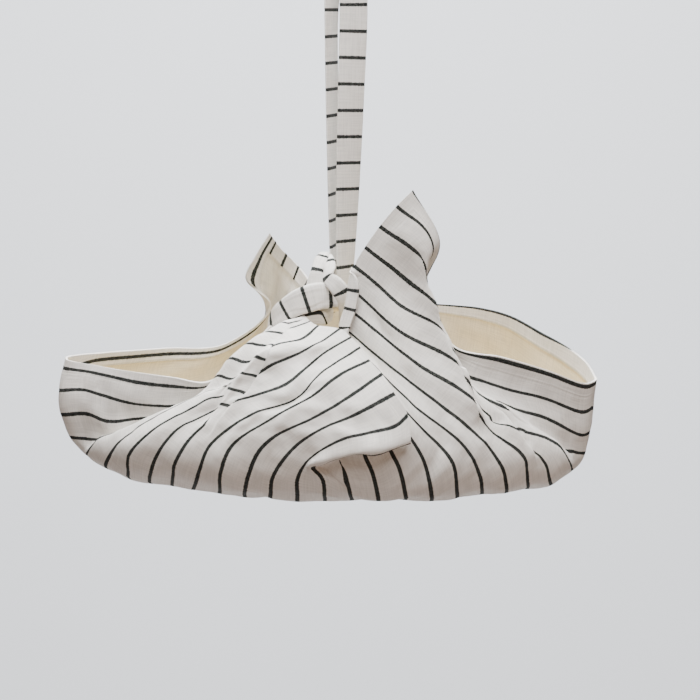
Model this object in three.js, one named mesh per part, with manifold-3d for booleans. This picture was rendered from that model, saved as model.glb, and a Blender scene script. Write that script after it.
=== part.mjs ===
// A picnic bag knotted from one striped cloth, hanging from a doubled strap.
// Units are millimetres, Z is up. X runs along the bag, Y from its front to its back.
// The tables are written with the base of the bag at Z 0; the whole part is lowered at
// the end so that the origin lies at the top of the strap, where the bag is held.
import * as THREE from "three";
import { mergeVertices } from "three/addons/utils/BufferGeometryUtils.js";
import Module from "manifold-3d";

const wasm = await Module();
wasm.setup();
const { Manifold, Mesh } = wasm;

// The stripes are woven one pitch apart, so a cloth section is named by its stripe:
// stripe 0 is at the right edge of the cloth, 14 at its middle, 28.3 at its left edge.
const CLOTH_THICKNESS = 2;
const HEM_THICKNESS = 3;
const HEM_SHARE = 0.05; // depth of the hem as a share of half the cloth
const LEFT_EDGE = 28.3;
const CELLS_ALONG = 15; // cells from the keel to one edge of the cloth
const STEEP = 0.6; // how strongly far points stretch the parameter of a section

// One row per stripe of the front half, from the keel under the bag up to the hem.
// keel  turn  flank  side / tuck  ridge  neck  hem, each as [x, y, z].
const FRONT = [
  { stripe: 0, points: [[257, 0, 116], [247, -12, 113], [205, -36, 130], [158, -54, 146],
    [112, -61, 157], [84, -50, 212], [97, -70, 262], [71, -66, 311]] },
  { stripe: 1, points: [[252, 0, 90], [243, -12, 87], [202, -34, 104], [157, -52, 118],
    [122, -56, 134], [62, -48, 201], [90, -73, 255], [55, -64, 295]] },
  { stripe: 2, points: [[250, 0, 64], [242, -14, 62], [204, -38, 84], [160, -58, 101],
    [134, -61, 114], [84, -58, 177], [83, -75, 241], [39, -58, 275]] },
  { stripe: 3, points: [[246, 0, 40], [238, -16, 42], [200, -44, 68], [158, -67, 99],
    [136, -68, 112], [100, -68, 168], [89, -76, 206], [25, -52, 254]] },
  { stripe: 4, points: [[233, 0, 20], [230, -36, 30], [200, -58, 66], [158, -73, 94],
    [127, -76, 118], [103, -80, 170], [60, -70, 202], [15, -48, 235]] },
  { stripe: 5, points: [[211, 0, 9], [207, -54, 20], [202, -64, 45], [178, -74, 70],
    [138, -80, 94], [120, -86, 134], [60, -77, 173], [18, -54, 204]] },
  { stripe: 6, points: [[187, 0, 4], [185, -68, 19], [180, -80, 48], [158, -85, 67],
    [141, -87, 84], [134, -93, 101], [76, -90, 143], [14, -58, 185]] },
  { stripe: 7, points: [[163, 0, 2], [163, -80, 16], [159, -92, 40], [143, -96, 65],
    [120, -99, 86], [96, -100, 106], [54, -88, 137], [6, -60, 171]] },
  { stripe: 8, points: [[140, 0, 1], [139, -90, 16], [137, -100, 34], [126, -105, 58],
    [106, -108, 80], [72, -106, 105], [30, -84, 143], [-6, -64, 168]] },
  { stripe: 9, points: [[114, 0, 0], [114, -98, 16], [109, -111, 50], [100, -113, 64],
    [82, -114, 82], [58, -107, 106], [28, -92, 134], [-4, -77, 158]] },
  { stripe: 10, points: [[88, 0, 0], [89, -103, 14], [83, -117, 49], [76, -118, 64],
    [62, -114, 84], [48, -107, 105], [33, -100, 122], [18, -93, 138]] },
  { stripe: 11, points: [[62, 0, 0], [64, -106, 14], [57, -121, 48], [49, -121, 64],
    [44, -119, 78], [40, -115, 90], [36, -112, 101], [32, -108, 112]] },
  { stripe: 12, points: [[36, 0, 0], [37, -108, 14], [31, -124, 45], [24, -125, 61],
    [22, -120, 71], [20, -115, 81], [19, -112, 90], [20, -110, 99]] },
  { stripe: 13, points: [[10, 0, 0], [11, -108, 14], [5, -125, 45], [-1, -126, 59],
    [3, -125, 68], [12, -124, 75], [25, -122, 81], [40, -120, 87]] },
  { stripe: 13.9, points: [[-13, 0, 0], [-12, -108, 14], [-13, -124, 38], [-22, -127, 51],
    [6, -133, 61], [25, -134, 65], [48, -131, 68], [67, -124, 73]] },
  { stripe: 14.1, points: [[-18, 0, 0], [-17, -108, 14], [-18, -125, 38], [-27, -132, 50],
    [5, -139, 60], [24, -140, 64], [48, -136, 67], [68, -129, 72]] },
  { stripe: 15, points: [[-42, 0, 0], [-41, -108, 14], [-40, -125, 38], [-30, -132, 56],
    [3, -137, 77], [30, -135, 83], [55, -130, 89], [66, -124, 98]] },
  { stripe: 16, points: [[-68, 0, 0], [-67, -108, 16], [-65, -124, 37], [-56, -129, 54],
    [-38, -132, 74], [-17, -132, 87], [20, -128, 103], [53, -118, 119]] },
  { stripe: 17, points: [[-94, 0, 0], [-92, -106, 18], [-88, -122, 40], [-78, -128, 64],
    [-63, -129, 79], [-28, -130, 96], [4, -122, 113], [41, -104, 136]] },
  { stripe: 18, points: [[-120, 0, 1], [-116, -102, 21], [-114, -118, 44], [-103, -123, 70],
    [-60, -124, 98], [-28, -121, 116], [4, -108, 138], [29, -94, 148]] },
  { stripe: 19, points: [[-146, 0, 2], [-138, -98, 23], [-135, -112, 45], [-124, -117, 70],
    [-80, -117, 99], [-40, -116, 115], [-12, -104, 142], [20, -82, 159]] },
  { stripe: 20, points: [[-171, 0, 3], [-161, -92, 25], [-158, -106, 48], [-138, -110, 81],
    [-106, -109, 105], [-50, -110, 127], [-20, -93, 152], [11, -72, 167]] },
  { stripe: 21, points: [[-196, 0, 6], [-183, -84, 27], [-178, -98, 55], [-155, -102, 84],
    [-126, -100, 98], [-66, -100, 141], [-25, -86, 160], [0, -64, 175]] },
  { stripe: 22, points: [[-220, 0, 12], [-206, -72, 30], [-202, -86, 55], [-178, -93, 80],
    [-128, -94, 110], [-66, -92, 157], [-39, -80, 165], [-21, -56, 177]] },
  { stripe: 23, points: [[-243, 0, 21], [-230, -54, 37], [-218, -71, 62], [-183, -80, 89],
    [-139, -84, 111], [-105, -84, 128], [-72, -76, 163], [-29, -46, 180]] },
  { stripe: 24, points: [[-262, 0, 35], [-251, -34, 45], [-236, -49, 64], [-190, -68, 86],
    [-140, -76, 108], [-110, -74, 144], [-76, -62, 173], [-34, -38, 183]] },
  { stripe: 25, points: [[-270, 0, 57], [-252, -20, 57], [-222, -38, 61], [-180, -51, 69],
    [-140, -60, 84], [-110, -60, 120], [-82, -53, 153], [-38, -31, 182]] },
  { stripe: 26, points: [[-277, 0, 81], [-250, -24, 84], [-230, -36, 79], [-192, -46, 84],
    [-148, -52, 86], [-108, -54, 106], [-80, -46, 137], [-38, -23, 181]] },
  { stripe: 27, points: [[-280, 0, 105], [-256, -20, 108], [-234, -32, 104], [-198, -50, 98],
    [-152, -56, 100], [-106, -50, 120], [-76, -37, 152], [-39, -16, 186]] },
  { stripe: 28.3, points: [[-274, 0, 138], [-242, -26, 134], [-199, -46, 133], [-163, -58, 130],
    [-130, -64, 125], [-98, -54, 140], [-70, -32, 172], [-40, -8, 195]] },
];

// The back half, with the same columns. The right rim climbs to the knot, the left corner
// stands up as the second tail, and between them the panel folds over like the front one.
const BACK = [
  { stripe: 0, points: [[257, 0, 116], [247, 30, 128], [204, 64, 150], [176, 76, 166],
    [144, 84, 176], [99, 82, 181], [50, 59, 188], [8, 26, 195]] },
  { stripe: 2, points: [[250, 0, 64], [240, 36, 72], [200, 74, 100], [172, 86, 120],
    [140, 92, 135], [98, 87, 152], [50, 65, 173], [5, 29, 191]] },
  { stripe: 4, points: [[233, 0, 20], [224, 50, 34], [200, 84, 58], [164, 98, 82],
    [124, 100, 104], [84, 92, 134], [42, 72, 162], [0, 35, 187]] },
  { stripe: 6, points: [[187, 0, 4], [176, 76, 26], [168, 92, 54], [142, 100, 84],
    [104, 102, 104], [48, 98, 142], [14, 80, 166], [-15, 48, 182]] },
  { stripe: 8, points: [[140, 0, 1], [134, 92, 22], [124, 108, 50], [106, 112, 80],
    [64, 112, 104], [16, 112, 128], [-16, 94, 154], [-46, 70, 168]] },
  { stripe: 10, points: [[88, 0, 0], [82, 102, 18], [76, 118, 44], [64, 124, 70],
    [22, 124, 98], [-12, 122, 116], [-44, 108, 138], [-68, 94, 148]] },
  { stripe: 12, points: [[36, 0, 0], [32, 108, 16], [28, 124, 38], [16, 130, 58],
    [-4, 132, 76], [-30, 132, 92], [-62, 126, 108], [-90, 116, 122]] },
  { stripe: 14.1, points: [[-18, 0, 0], [-20, 108, 14], [-20, 125, 38], [-10, 132, 50],
    [-42, 139, 60], [-62, 140, 64], [-86, 136, 68], [-104, 129, 72]] },
  { stripe: 14.3, points: [[-23, 0, 0], [-25, 108, 14], [-25, 124, 38], [-16, 126, 52],
    [-43, 133, 62], [-63, 134, 66], [-86, 130, 70], [-103, 123, 74]] },
  { stripe: 15.3, points: [[-50, 0, 0], [-51, 108, 14], [-46, 125, 45], [-39, 125, 59],
    [-43, 125, 68], [-52, 124, 75], [-65, 122, 81], [-80, 120, 87]] },
  { stripe: 16, points: [[-68, 0, 0], [-69, 108, 14], [-66, 124, 45], [-60, 125, 60],
    [-58, 120, 70], [-56, 115, 80], [-56, 112, 89], [-58, 110, 98]] },
  { stripe: 17.3, points: [[-102, 0, 0], [-104, 106, 14], [-97, 121, 48], [-89, 121, 64],
    [-84, 119, 78], [-80, 115, 90], [-76, 112, 101], [-72, 108, 112]] },
  { stripe: 18.3, points: [[-128, 0, 1], [-129, 102, 14], [-123, 117, 48], [-116, 118, 64],
    [-104, 114, 82], [-88, 107, 102], [-73, 100, 119], [-58, 93, 135]] },
  { stripe: 20, points: [[-171, 0, 3], [-168, 90, 18], [-164, 101, 38], [-150, 107, 60],
    [-128, 110, 84], [-98, 104, 110], [-66, 90, 136], [-38, 66, 158]] },
  { stripe: 22, points: [[-220, 0, 12], [-208, 68, 30], [-194, 86, 48], [-168, 96, 70],
    [-136, 101, 96], [-98, 93, 124], [-60, 76, 152], [-28, 44, 180]] },
  { stripe: 24, points: [[-262, 0, 35], [-246, 40, 44], [-206, 74, 60], [-164, 87, 78],
    [-122, 92, 104], [-86, 84, 134], [-52, 63, 168], [-24, 36, 199]] },
  { stripe: 26, points: [[-277, 0, 81], [-240, 30, 84], [-182, 64, 88], [-124, 82, 104],
    [-84, 79, 142], [-57, 65, 176], [-52, 58, 204], [-45, 55, 226]] },
  { stripe: 27, points: [[-280, 0, 105], [-238, 32, 108], [-180, 60, 110], [-122, 79, 120],
    [-80, 73, 158], [-67, 66, 190], [-67, 56, 220], [-59, 49, 241]] },
  { stripe: 28.3, points: [[-274, 0, 138], [-233, 34, 139], [-178, 58, 139], [-119, 73, 141],
    [-76, 55, 181], [-94, 48, 214], [-89, 45, 237], [-73, 42, 254]] },
];

// The knot, as rolled bands of the cloth's own corners. Each row is one section of a band:
// its centre, how wide and how thick the roll is, and which way its width points.
const LEFT_BAND = [
  { at: [-92, -38, 158], wide: 26, thick: 12, across: [-0.5, 0, 0.87] },
  { at: [-72, -34, 179], wide: 31, thick: 20, across: [-0.6, 0, 0.8] },
  { at: [-52, -30, 194], wide: 32, thick: 26, across: [-0.4, 0, 0.92] },
  { at: [-32, -28, 200], wide: 30, thick: 28, across: [-0.1, 0, 1] },
  { at: [-14, -24, 200], wide: 25, thick: 24, across: [0.1, 0, 1] },
  { at: [-3, -12, 199], wide: 22, thick: 20, across: [0.1, 0, 1] },
  { at: [2, 4, 198], wide: 20, thick: 16, across: [0, 0, 1] },
];
const OVER_BAND = [
  { at: [30, 46, 182], wide: 30, thick: 12, across: [0.5, -0.3, 0.8] },
  { at: [8, 34, 200], wide: 32, thick: 18, across: [0.6, 0.1, 0.8] },
  { at: [-13, 24, 216], wide: 27, thick: 18, across: [0.7, 0.3, 0.6] },
  { at: [-22, 8, 229], wide: 21, thick: 17, across: [0.8, 0.4, 0.4] },
  { at: [-21, -7, 232], wide: 19, thick: 16, across: [0.95, 0.1, 0.25] },
  { at: [-25, -17, 220], wide: 24, thick: 15, across: [0.97, 0, 0.25] },
  { at: [-31, -20, 204], wide: 26, thick: 14, across: [0.96, 0, 0.28] },
];
const RIGHT_BAND = [
  { at: [-20, -6, 228], wide: 14, thick: 11, across: [0.6, 0, 0.8] },
  { at: [-10, -17, 226], wide: 20, thick: 12, across: [0.75, 0, 0.66] },
  { at: [0, -23, 215], wide: 21, thick: 13, across: [0.85, 0, 0.5] },
  { at: [5, -20, 203], wide: 17, thick: 13, across: [0.98, 0, 0.2] },
  { at: [2, -8, 196], wide: 15, thick: 12, across: [0.98, 0, 0.1] },
];
const UNDER_BAND = [
  { at: [-50, -34, 186], wide: 14, thick: 12, across: [0, 0, 1] },
  { at: [-36, -36, 184], wide: 15, thick: 13, across: [0, 0, 1] },
  { at: [-22, -32, 184], wide: 14, thick: 13, across: [0, 0, 1] },
  { at: [-12, -18, 189], wide: 14, thick: 12, across: [0, 0, 1] },
];
const BACK_BAND = [
  { at: [-58, 50, 186], wide: 32, thick: 14, across: [0.3, 0.1, 0.9] },
  { at: [-36, 40, 197], wide: 32, thick: 22, across: [0.2, 0.1, 1] },
  { at: [-14, 32, 202], wide: 29, thick: 26, across: [0, 0, 1] },
  { at: [6, 22, 202], wide: 27, thick: 24, across: [0, 0, 1] },
  { at: [14, 6, 200], wide: 24, thick: 18, across: [0, 0, 1] },
  { at: [8, -6, 198], wide: 20, thick: 14, across: [0, 0, 1] },
];
const KNOT_HEART = { at: [-8, 6, 204], size: [50, 46, 34] };
const BAND_SIDES = 10;
const BAND_STEPS = 2; // rings added between two rows of a band

// The strap, a row per section from the right strand's end up over the top and down again.
// turn is the angle of its width about the vertical, in degrees from the X axis.
const STRAP_WIDTH = 27;
const STRAP_THICKNESS = 2.4;
const STRAP_TOP = 600;
const STRAP_BEND = 9; // radius of the loop at the top, whose width lies along X
const STRAP_LOOP = { x: 3, y: 4 };
const STRAP_STEPS = 3;
const BEND_STEPS = 8;
const STRAP_CLEARANCE = 0.3;
const RIGHT_STRAND = [
  { x: 3, y: 6, z: 198, turn: 50 },
  { x: 5.5, y: 4, z: 224, turn: 45 },
  { x: 8, y: 2, z: 300, turn: 24 },
  { x: 11, y: 0, z: 400, turn: 6 },
  { x: 13.5, y: 0, z: 491, turn: 0 },
  { x: 9, y: -3, z: 550, turn: 0 },
];
const LEFT_STRAND = [
  { x: -2, y: 12, z: 550, turn: 26 },
  { x: -8, y: 8, z: 491, turn: 60 },
  { x: -8, y: 8, z: 400, turn: 66 },
  { x: -7.5, y: 9, z: 300, turn: 74 },
  { x: -6.5, y: 10, z: 224, turn: 80 },
  { x: -6, y: 11, z: 198, turn: 82 },
];

const CLOTH_COLOUR = 0xe6e1d6;
const STRAP_COLOUR = 0xe4dfd3;

// Adds a multiple of one vector to another, in arrays of any length.
function addScaled(a, b, factor) {
  return a.map((value, i) => value + b[i] * factor);
}

function distance(a, b) {
  return Math.hypot(...a.map((value, i) => value - b[i]));
}

// A smooth curve through rows of numbers, given the parameter at which each row lies.
function smoothCurve(knots, rows, startSlope) {
  const last = rows.length - 1;
  const steps = knots.slice(1).map((k, i) => k - knots[i]);
  const chords = steps.map((h, i) => rows[i].map((value, c) => (rows[i + 1][c] - value) / h));
  const slopes = rows.map((row, i) => {
    if (i === 0) return startSlope ?? chords[0];
    if (i === last) return chords[last - 1];
    const before = steps[i - 1];
    const after = steps[i];
    return row.map((_, c) => (chords[i - 1][c] * after + chords[i][c] * before) / (before + after));
  });
  return (at) => {
    let i = 0;
    while (i < last - 1 && at > knots[i + 1]) i += 1;
    const h = steps[i];
    const t = (at - knots[i]) / h;
    const startWeight = 2 * t ** 3 - 3 * t ** 2 + 1;
    const startPull = (t ** 3 - 2 * t ** 2 + t) * h;
    const endWeight = 3 * t ** 2 - 2 * t ** 3;
    const endPull = (t ** 3 - t ** 2) * h;
    return rows[i].map((value, c) => startWeight * value + startPull * slopes[i][c] +
      endWeight * rows[i + 1][c] + endPull * slopes[i + 1][c]);
  };
}

// Walks a curve and returns points spaced evenly along it.
function evenPoints(curve, end, count) {
  const fine = 300;
  const points = Array.from({ length: fine + 1 }, (_, i) => curve((end * i) / fine));
  const travelled = [0];
  for (let i = 1; i <= fine; i += 1) {
    travelled.push(travelled[i - 1] + distance(points[i], points[i - 1]));
  }
  const total = travelled[fine];
  return Array.from({ length: count + 1 }, (_, i) => {
    const target = (total * i) / count;
    let j = 1;
    while (j < fine && travelled[j] < target) j += 1;
    const share = (target - travelled[j - 1]) / (travelled[j] - travelled[j - 1]);
    return addScaled(points[j - 1], addScaled(points[j], points[j - 1], -1), share);
  });
}

// One section of the cloth from the keel to the hem, leaving the keel level across the bag.
function sectionPoints(points, side) {
  const knots = [0];
  for (let i = 1; i < points.length; i += 1) {
    knots.push(knots[i - 1] + distance(points[i], points[i - 1]) ** STEEP);
  }
  const rise = distance(points[0], points[1]) ** (1 - STEEP);
  const curve = smoothCurve(knots, points, [0, side * rise, 0]);
  return evenPoints(curve, knots[points.length - 1], CELLS_ALONG);
}

// Half of the cloth as a function of the stripe: it returns that stripe's points in a row.
function halfCloth(table, side) {
  const rows = table.map((row) => sectionPoints(row.points, side).flat());
  const across = smoothCurve(table.map((row) => row.stripe), rows);
  return (stripe) => {
    const flat = across(stripe);
    return Array.from({ length: CELLS_ALONG + 1 }, (_, i) => flat.slice(3 * i, 3 * i + 3));
  };
}

// The stripes at which the cloth is cut into cells: every half stripe, and both sides of
// the two folds in the middle.
function cellStripes() {
  const stripes = [13.9, 14.1, 14.3];
  for (let s = 0; s < LEFT_EDGE; s += 0.5) {
    if (Math.abs(s - 14) > 0.01) stripes.push(s);
  }
  stripes.push(LEFT_EDGE);
  return stripes.sort((a, b) => a - b);
}

// The direction square to the cloth at a grid point, pointing out of the bag.
function outward(grid, i, j) {
  const pick = (a, b) => new THREE.Vector3(...grid[a][b]);
  const iLow = Math.max(i - 1, 0);
  const iHigh = Math.min(i + 1, grid.length - 1);
  const jLow = Math.max(j - 1, 0);
  const jHigh = Math.min(j + 1, grid[0].length - 1);
  const acrossStripes = pick(iHigh, j).sub(pick(iLow, j));
  const alongStripe = pick(i, jHigh).sub(pick(i, jLow));
  return acrossStripes.cross(alongStripe).normalize();
}

// A closed solid from a grid of points: an outer face, an inner face and the rim between.
function sheetSolid(grid, insideDepth) {
  const rows = grid.length;
  const columns = grid[0].length;
  const positions = [];
  for (const inner of [false, true]) {
    grid.forEach((row, i) => row.forEach((point, j) => {
      const shift = inner ? -insideDepth(i, j) : CLOTH_THICKNESS / 2;
      positions.push(...addScaled(point, outward(grid, i, j).toArray(), shift));
    }));
  }
  const outer = (i, j) => i * columns + j;
  const innerAt = (i, j) => rows * columns + i * columns + j;
  const faces = [];
  const quad = (a, b, c, d) => faces.push(a, b, c, a, c, d);
  for (let i = 0; i < rows - 1; i += 1) {
    for (let j = 0; j < columns - 1; j += 1) {
      quad(outer(i, j), outer(i + 1, j), outer(i + 1, j + 1), outer(i, j + 1));
      quad(innerAt(i, j), innerAt(i, j + 1), innerAt(i + 1, j + 1), innerAt(i + 1, j));
    }
  }
  for (let i = 0; i < rows - 1; i += 1) {
    const end = columns - 1;
    quad(outer(i, 0), innerAt(i, 0), innerAt(i + 1, 0), outer(i + 1, 0));
    quad(outer(i + 1, end), innerAt(i + 1, end), innerAt(i, end), outer(i, end));
  }
  for (let j = 0; j < columns - 1; j += 1) {
    const end = rows - 1;
    quad(outer(0, j + 1), innerAt(0, j + 1), innerAt(0, j), outer(0, j));
    quad(outer(end, j), innerAt(end, j), innerAt(end, j + 1), outer(end, j + 1));
  }
  return solidFrom(positions, faces);
}

// Rings of equal size joined into a closed tube with flat ends.
function ringSolid(rings) {
  const sides = rings[0].length;
  const positions = rings.flat(2);
  const faces = [];
  for (let i = 0; i < rings.length - 1; i += 1) {
    for (let k = 0; k < sides; k += 1) {
      const next = (k + 1) % sides;
      const a = i * sides + k;
      const b = i * sides + next;
      faces.push(a, b, b + sides, a, b + sides, a + sides);
    }
  }
  const top = (rings.length - 1) * sides;
  for (let k = 1; k < sides - 1; k += 1) {
    faces.push(0, k + 1, k);
    faces.push(top, top + k, top + k + 1);
  }
  return solidFrom(positions, faces);
}

function solidFrom(positions, faces) {
  const geometry = new THREE.BufferGeometry();
  geometry.setAttribute("position", new THREE.Float32BufferAttribute(positions, 3));
  geometry.setIndex(faces);
  return toManifold(geometry);
}

function toManifold(geometry) {
  const bare = new THREE.BufferGeometry();
  bare.setAttribute("position", geometry.getAttribute("position"));
  bare.setIndex(geometry.getIndex());
  const merged = mergeVertices(bare, 1e-4);
  return new Manifold(new Mesh({
    numProp: 3,
    vertProperties: merged.attributes.position.array,
    triVerts: new Uint32Array(merged.index.array),
  }));
}

function toGeometry(solid) {
  const mesh = solid.getMesh();
  const positions = [];
  for (let i = 0; i < mesh.numVert; i += 1) {
    positions.push(...mesh.vertProperties.subarray(i * mesh.numProp, i * mesh.numProp + 3));
  }
  const geometry = new THREE.BufferGeometry();
  geometry.setAttribute("position", new THREE.Float32BufferAttribute(positions, 3));
  geometry.setIndex(Array.from(mesh.triVerts));
  geometry.computeVertexNormals();
  return geometry;
}

// The whole cloth: the front half runs from its hem to the keel and the back half on from it.
function clothSolid() {
  const front = halfCloth(FRONT, -1);
  const back = halfCloth(BACK, 1);
  const grid = cellStripes().map((stripe) => [
    ...front(stripe).reverse(),
    ...back(stripe).slice(1),
  ]);
  const stripes = cellStripes();
  const hem = (i, j) => {
    const alongStripe = Math.min(j, 2 * CELLS_ALONG - j) / CELLS_ALONG;
    const acrossStripes = Math.min(stripes[i], LEFT_EDGE - stripes[i]) / (LEFT_EDGE / 2);
    const hemmed = Math.min(alongStripe, acrossStripes) < HEM_SHARE;
    return (hemmed ? HEM_THICKNESS : CLOTH_THICKNESS) - CLOTH_THICKNESS / 2;
  };
  return sheetSolid(grid, hem);
}

// A rolled band of cloth swept through its table of sections.
function bandSolid(table) {
  const rows = table.map((row) => [...row.at, row.wide, row.thick, ...row.across]);
  const curve = smoothCurve(table.map((_, i) => i), rows);
  const count = (table.length - 1) * BAND_STEPS;
  const sections = Array.from({ length: count + 1 }, (_, i) => curve(i / BAND_STEPS));
  const rings = sections.map((section, i) => {
    const centre = new THREE.Vector3(...section.slice(0, 3));
    const [wide, thick] = section.slice(3, 5);
    const before = new THREE.Vector3(...sections[Math.max(i - 1, 0)].slice(0, 3));
    const after = new THREE.Vector3(...sections[Math.min(i + 1, count)].slice(0, 3));
    const ahead = after.sub(before).normalize();
    const across = new THREE.Vector3(...section.slice(5, 8));
    across.addScaledVector(ahead, -across.dot(ahead)).normalize();
    const through = ahead.clone().cross(across);
    return Array.from({ length: BAND_SIDES }, (_, k) => {
      const angle = (2 * Math.PI * k) / BAND_SIDES;
      return centre.clone()
        .addScaledVector(across, (wide / 2) * Math.cos(angle))
        .addScaledVector(through, (thick / 2) * Math.sin(angle))
        .toArray();
    });
  });
  return ringSolid(rings);
}

function heartSolid() {
  const geometry = new THREE.SphereGeometry(0.5, 12, 8);
  geometry.scale(...KNOT_HEART.size);
  geometry.translate(...KNOT_HEART.at);
  return toManifold(geometry);
}

// The strap's centre line with the turn of its width, as rows of x, y, z and turn.
function strapLine() {
  const bendAt = STRAP_TOP - STRAP_BEND;
  const rows = [];
  const strand = (table) => {
    const line = table.map((row) => [row.x, row.y, row.z, row.turn]);
    const curve = smoothCurve(table.map((_, i) => i), line);
    const count = (table.length - 1) * STRAP_STEPS;
    for (let i = 0; i <= count; i += 1) rows.push(curve(i / STRAP_STEPS));
  };
  const bendRow = (angle) => [
    STRAP_LOOP.x,
    STRAP_LOOP.y - STRAP_BEND * Math.cos(angle),
    bendAt + STRAP_BEND * Math.sin(angle),
    0,
  ];
  const start = bendRow(0);
  const finish = bendRow(Math.PI);
  strand([...RIGHT_STRAND, { x: start[0], y: start[1], z: start[2], turn: start[3] }]);
  for (let i = 1; i < BEND_STEPS; i += 1) rows.push(bendRow((Math.PI * i) / BEND_STEPS));
  strand([{ x: finish[0], y: finish[1], z: finish[2], turn: finish[3] }, ...LEFT_STRAND]);
  return rows;
}

// The strap as a flat strip; extra makes it bigger all round, to cut its way into the knot.
function strapSolid(extra) {
  const line = strapLine();
  const last = line.length - 1;
  const rings = line.map((row, i) => {
    const centre = new THREE.Vector3(...row.slice(0, 3));
    const before = new THREE.Vector3(...line[Math.max(i - 1, 0)].slice(0, 3));
    const after = new THREE.Vector3(...line[Math.min(i + 1, last)].slice(0, 3));
    const ahead = after.sub(before).normalize();
    if (i === 0) centre.addScaledVector(ahead, -extra);
    if (i === last) centre.addScaledVector(ahead, extra);
    const turn = (row[3] * Math.PI) / 180;
    const across = new THREE.Vector3(Math.cos(turn), Math.sin(turn), 0);
    across.addScaledVector(ahead, -across.dot(ahead)).normalize();
    const through = ahead.clone().cross(across);
    const halfWidth = STRAP_WIDTH / 2 + extra;
    const halfThickness = STRAP_THICKNESS / 2 + extra;
    return [[1, 1], [-1, 1], [-1, -1], [1, -1]].map(([w, t]) => centre.clone()
      .addScaledVector(across, w * halfWidth)
      .addScaledVector(through, t * halfThickness)
      .toArray());
  });
  return ringSolid(rings);
}

function bodyCloth() {
  let solid = clothSolid();
  for (const band of [LEFT_BAND, OVER_BAND, RIGHT_BAND, UNDER_BAND, BACK_BAND]) {
    solid = solid.add(bandSolid(band));
  }
  return solid.add(heartSolid()).subtract(strapSolid(STRAP_CLEARANCE));
}

function namedMesh(name, geometry, colour) {
  const material = new THREE.MeshStandardMaterial({ color: colour, roughness: 0.9, metalness: 0 });
  const mesh = new THREE.Mesh(geometry, material);
  mesh.name = name;
  return mesh;
}

// The origin is where a hook bears on the inside of the loop.
const lowered = new THREE.Group();
lowered.position.set(-STRAP_LOOP.x, -STRAP_LOOP.y, STRAP_THICKNESS / 2 - STRAP_TOP);
lowered.add(namedMesh("body_cloth", toGeometry(bodyCloth()), CLOTH_COLOUR));
lowered.add(namedMesh("strap", toGeometry(strapSolid(0)), STRAP_COLOUR));

const bag = new THREE.Group();
bag.name = "picnic_bag";
bag.add(lowered);

export default bag;
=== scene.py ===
"""A picnic bag knotted from one striped cloth, hanging from a doubled strap."""
import logging
import math
from dataclasses import dataclass
from enum import Enum

import bmesh
import bpy
import numpy as np
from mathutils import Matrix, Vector


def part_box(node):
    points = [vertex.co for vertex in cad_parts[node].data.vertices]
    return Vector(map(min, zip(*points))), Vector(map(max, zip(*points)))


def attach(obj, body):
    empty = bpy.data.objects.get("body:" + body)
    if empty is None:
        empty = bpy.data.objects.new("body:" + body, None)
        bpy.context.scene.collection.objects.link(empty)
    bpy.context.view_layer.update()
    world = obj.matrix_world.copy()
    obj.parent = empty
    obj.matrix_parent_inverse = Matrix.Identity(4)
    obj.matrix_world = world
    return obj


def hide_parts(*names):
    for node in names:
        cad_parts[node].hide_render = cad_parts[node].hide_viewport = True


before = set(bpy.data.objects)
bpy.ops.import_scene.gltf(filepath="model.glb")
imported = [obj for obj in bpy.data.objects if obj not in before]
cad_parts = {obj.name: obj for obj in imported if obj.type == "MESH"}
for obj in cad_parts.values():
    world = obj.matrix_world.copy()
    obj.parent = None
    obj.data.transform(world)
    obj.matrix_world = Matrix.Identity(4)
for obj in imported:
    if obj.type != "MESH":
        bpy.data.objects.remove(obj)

logging.basicConfig(level=logging.INFO, format="%(message)s")
LOG = logging.getLogger("picnic_bag")

Point = tuple[float, float, float]
Place = tuple[float, float]
Face = tuple[int, ...]
Colour = tuple[float, float, float, float]

MM = 0.001
PITCH = 26.0  # millimetres from one stripe to the next
LEFT_EDGE = 28.3  # the left edge of the cloth, counted in stripes
FLAP_FOLD = 14.0  # the fold of the front flap, counted in stripes
HALF_LENGTH = 340.0  # millimetres of cloth from the keel to a hem
LAYOUT_TOP = 600.0  # height of the strap's top above the bag's base in the layout
LOOP_X = 3.0  # where the strap's loop stands in the layout
LOOP_Y = 4.0
STRAP_THICKNESS = 2.4
RIM_BULGE = 0.36  # how far the cloth's edge rounds out, as a share of its thickness
NO_HEM = 9.0  # stands for a distance from the hem, in centimetres, where there is none


class Side(Enum):
    """The two halves of the cloth that hang down from the knot and meet at the keel."""

    FRONT = -1
    BACK = 1


@dataclass(frozen=True)
class Course:
    """Where one stripe of the cloth runs, from the keel under the bag up to the hem, in millimetres."""

    stripe: float
    keel: Point
    turn: Point
    flank: Point
    side: Point
    tuck: Point
    ridge: Point
    neck: Point
    hem: Point

    def points(self) -> np.ndarray:
        """The course as rows of x, y and z."""
        return np.array([self.keel, self.turn, self.flank, self.side,
                         self.tuck, self.ridge, self.neck, self.hem], float)


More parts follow.
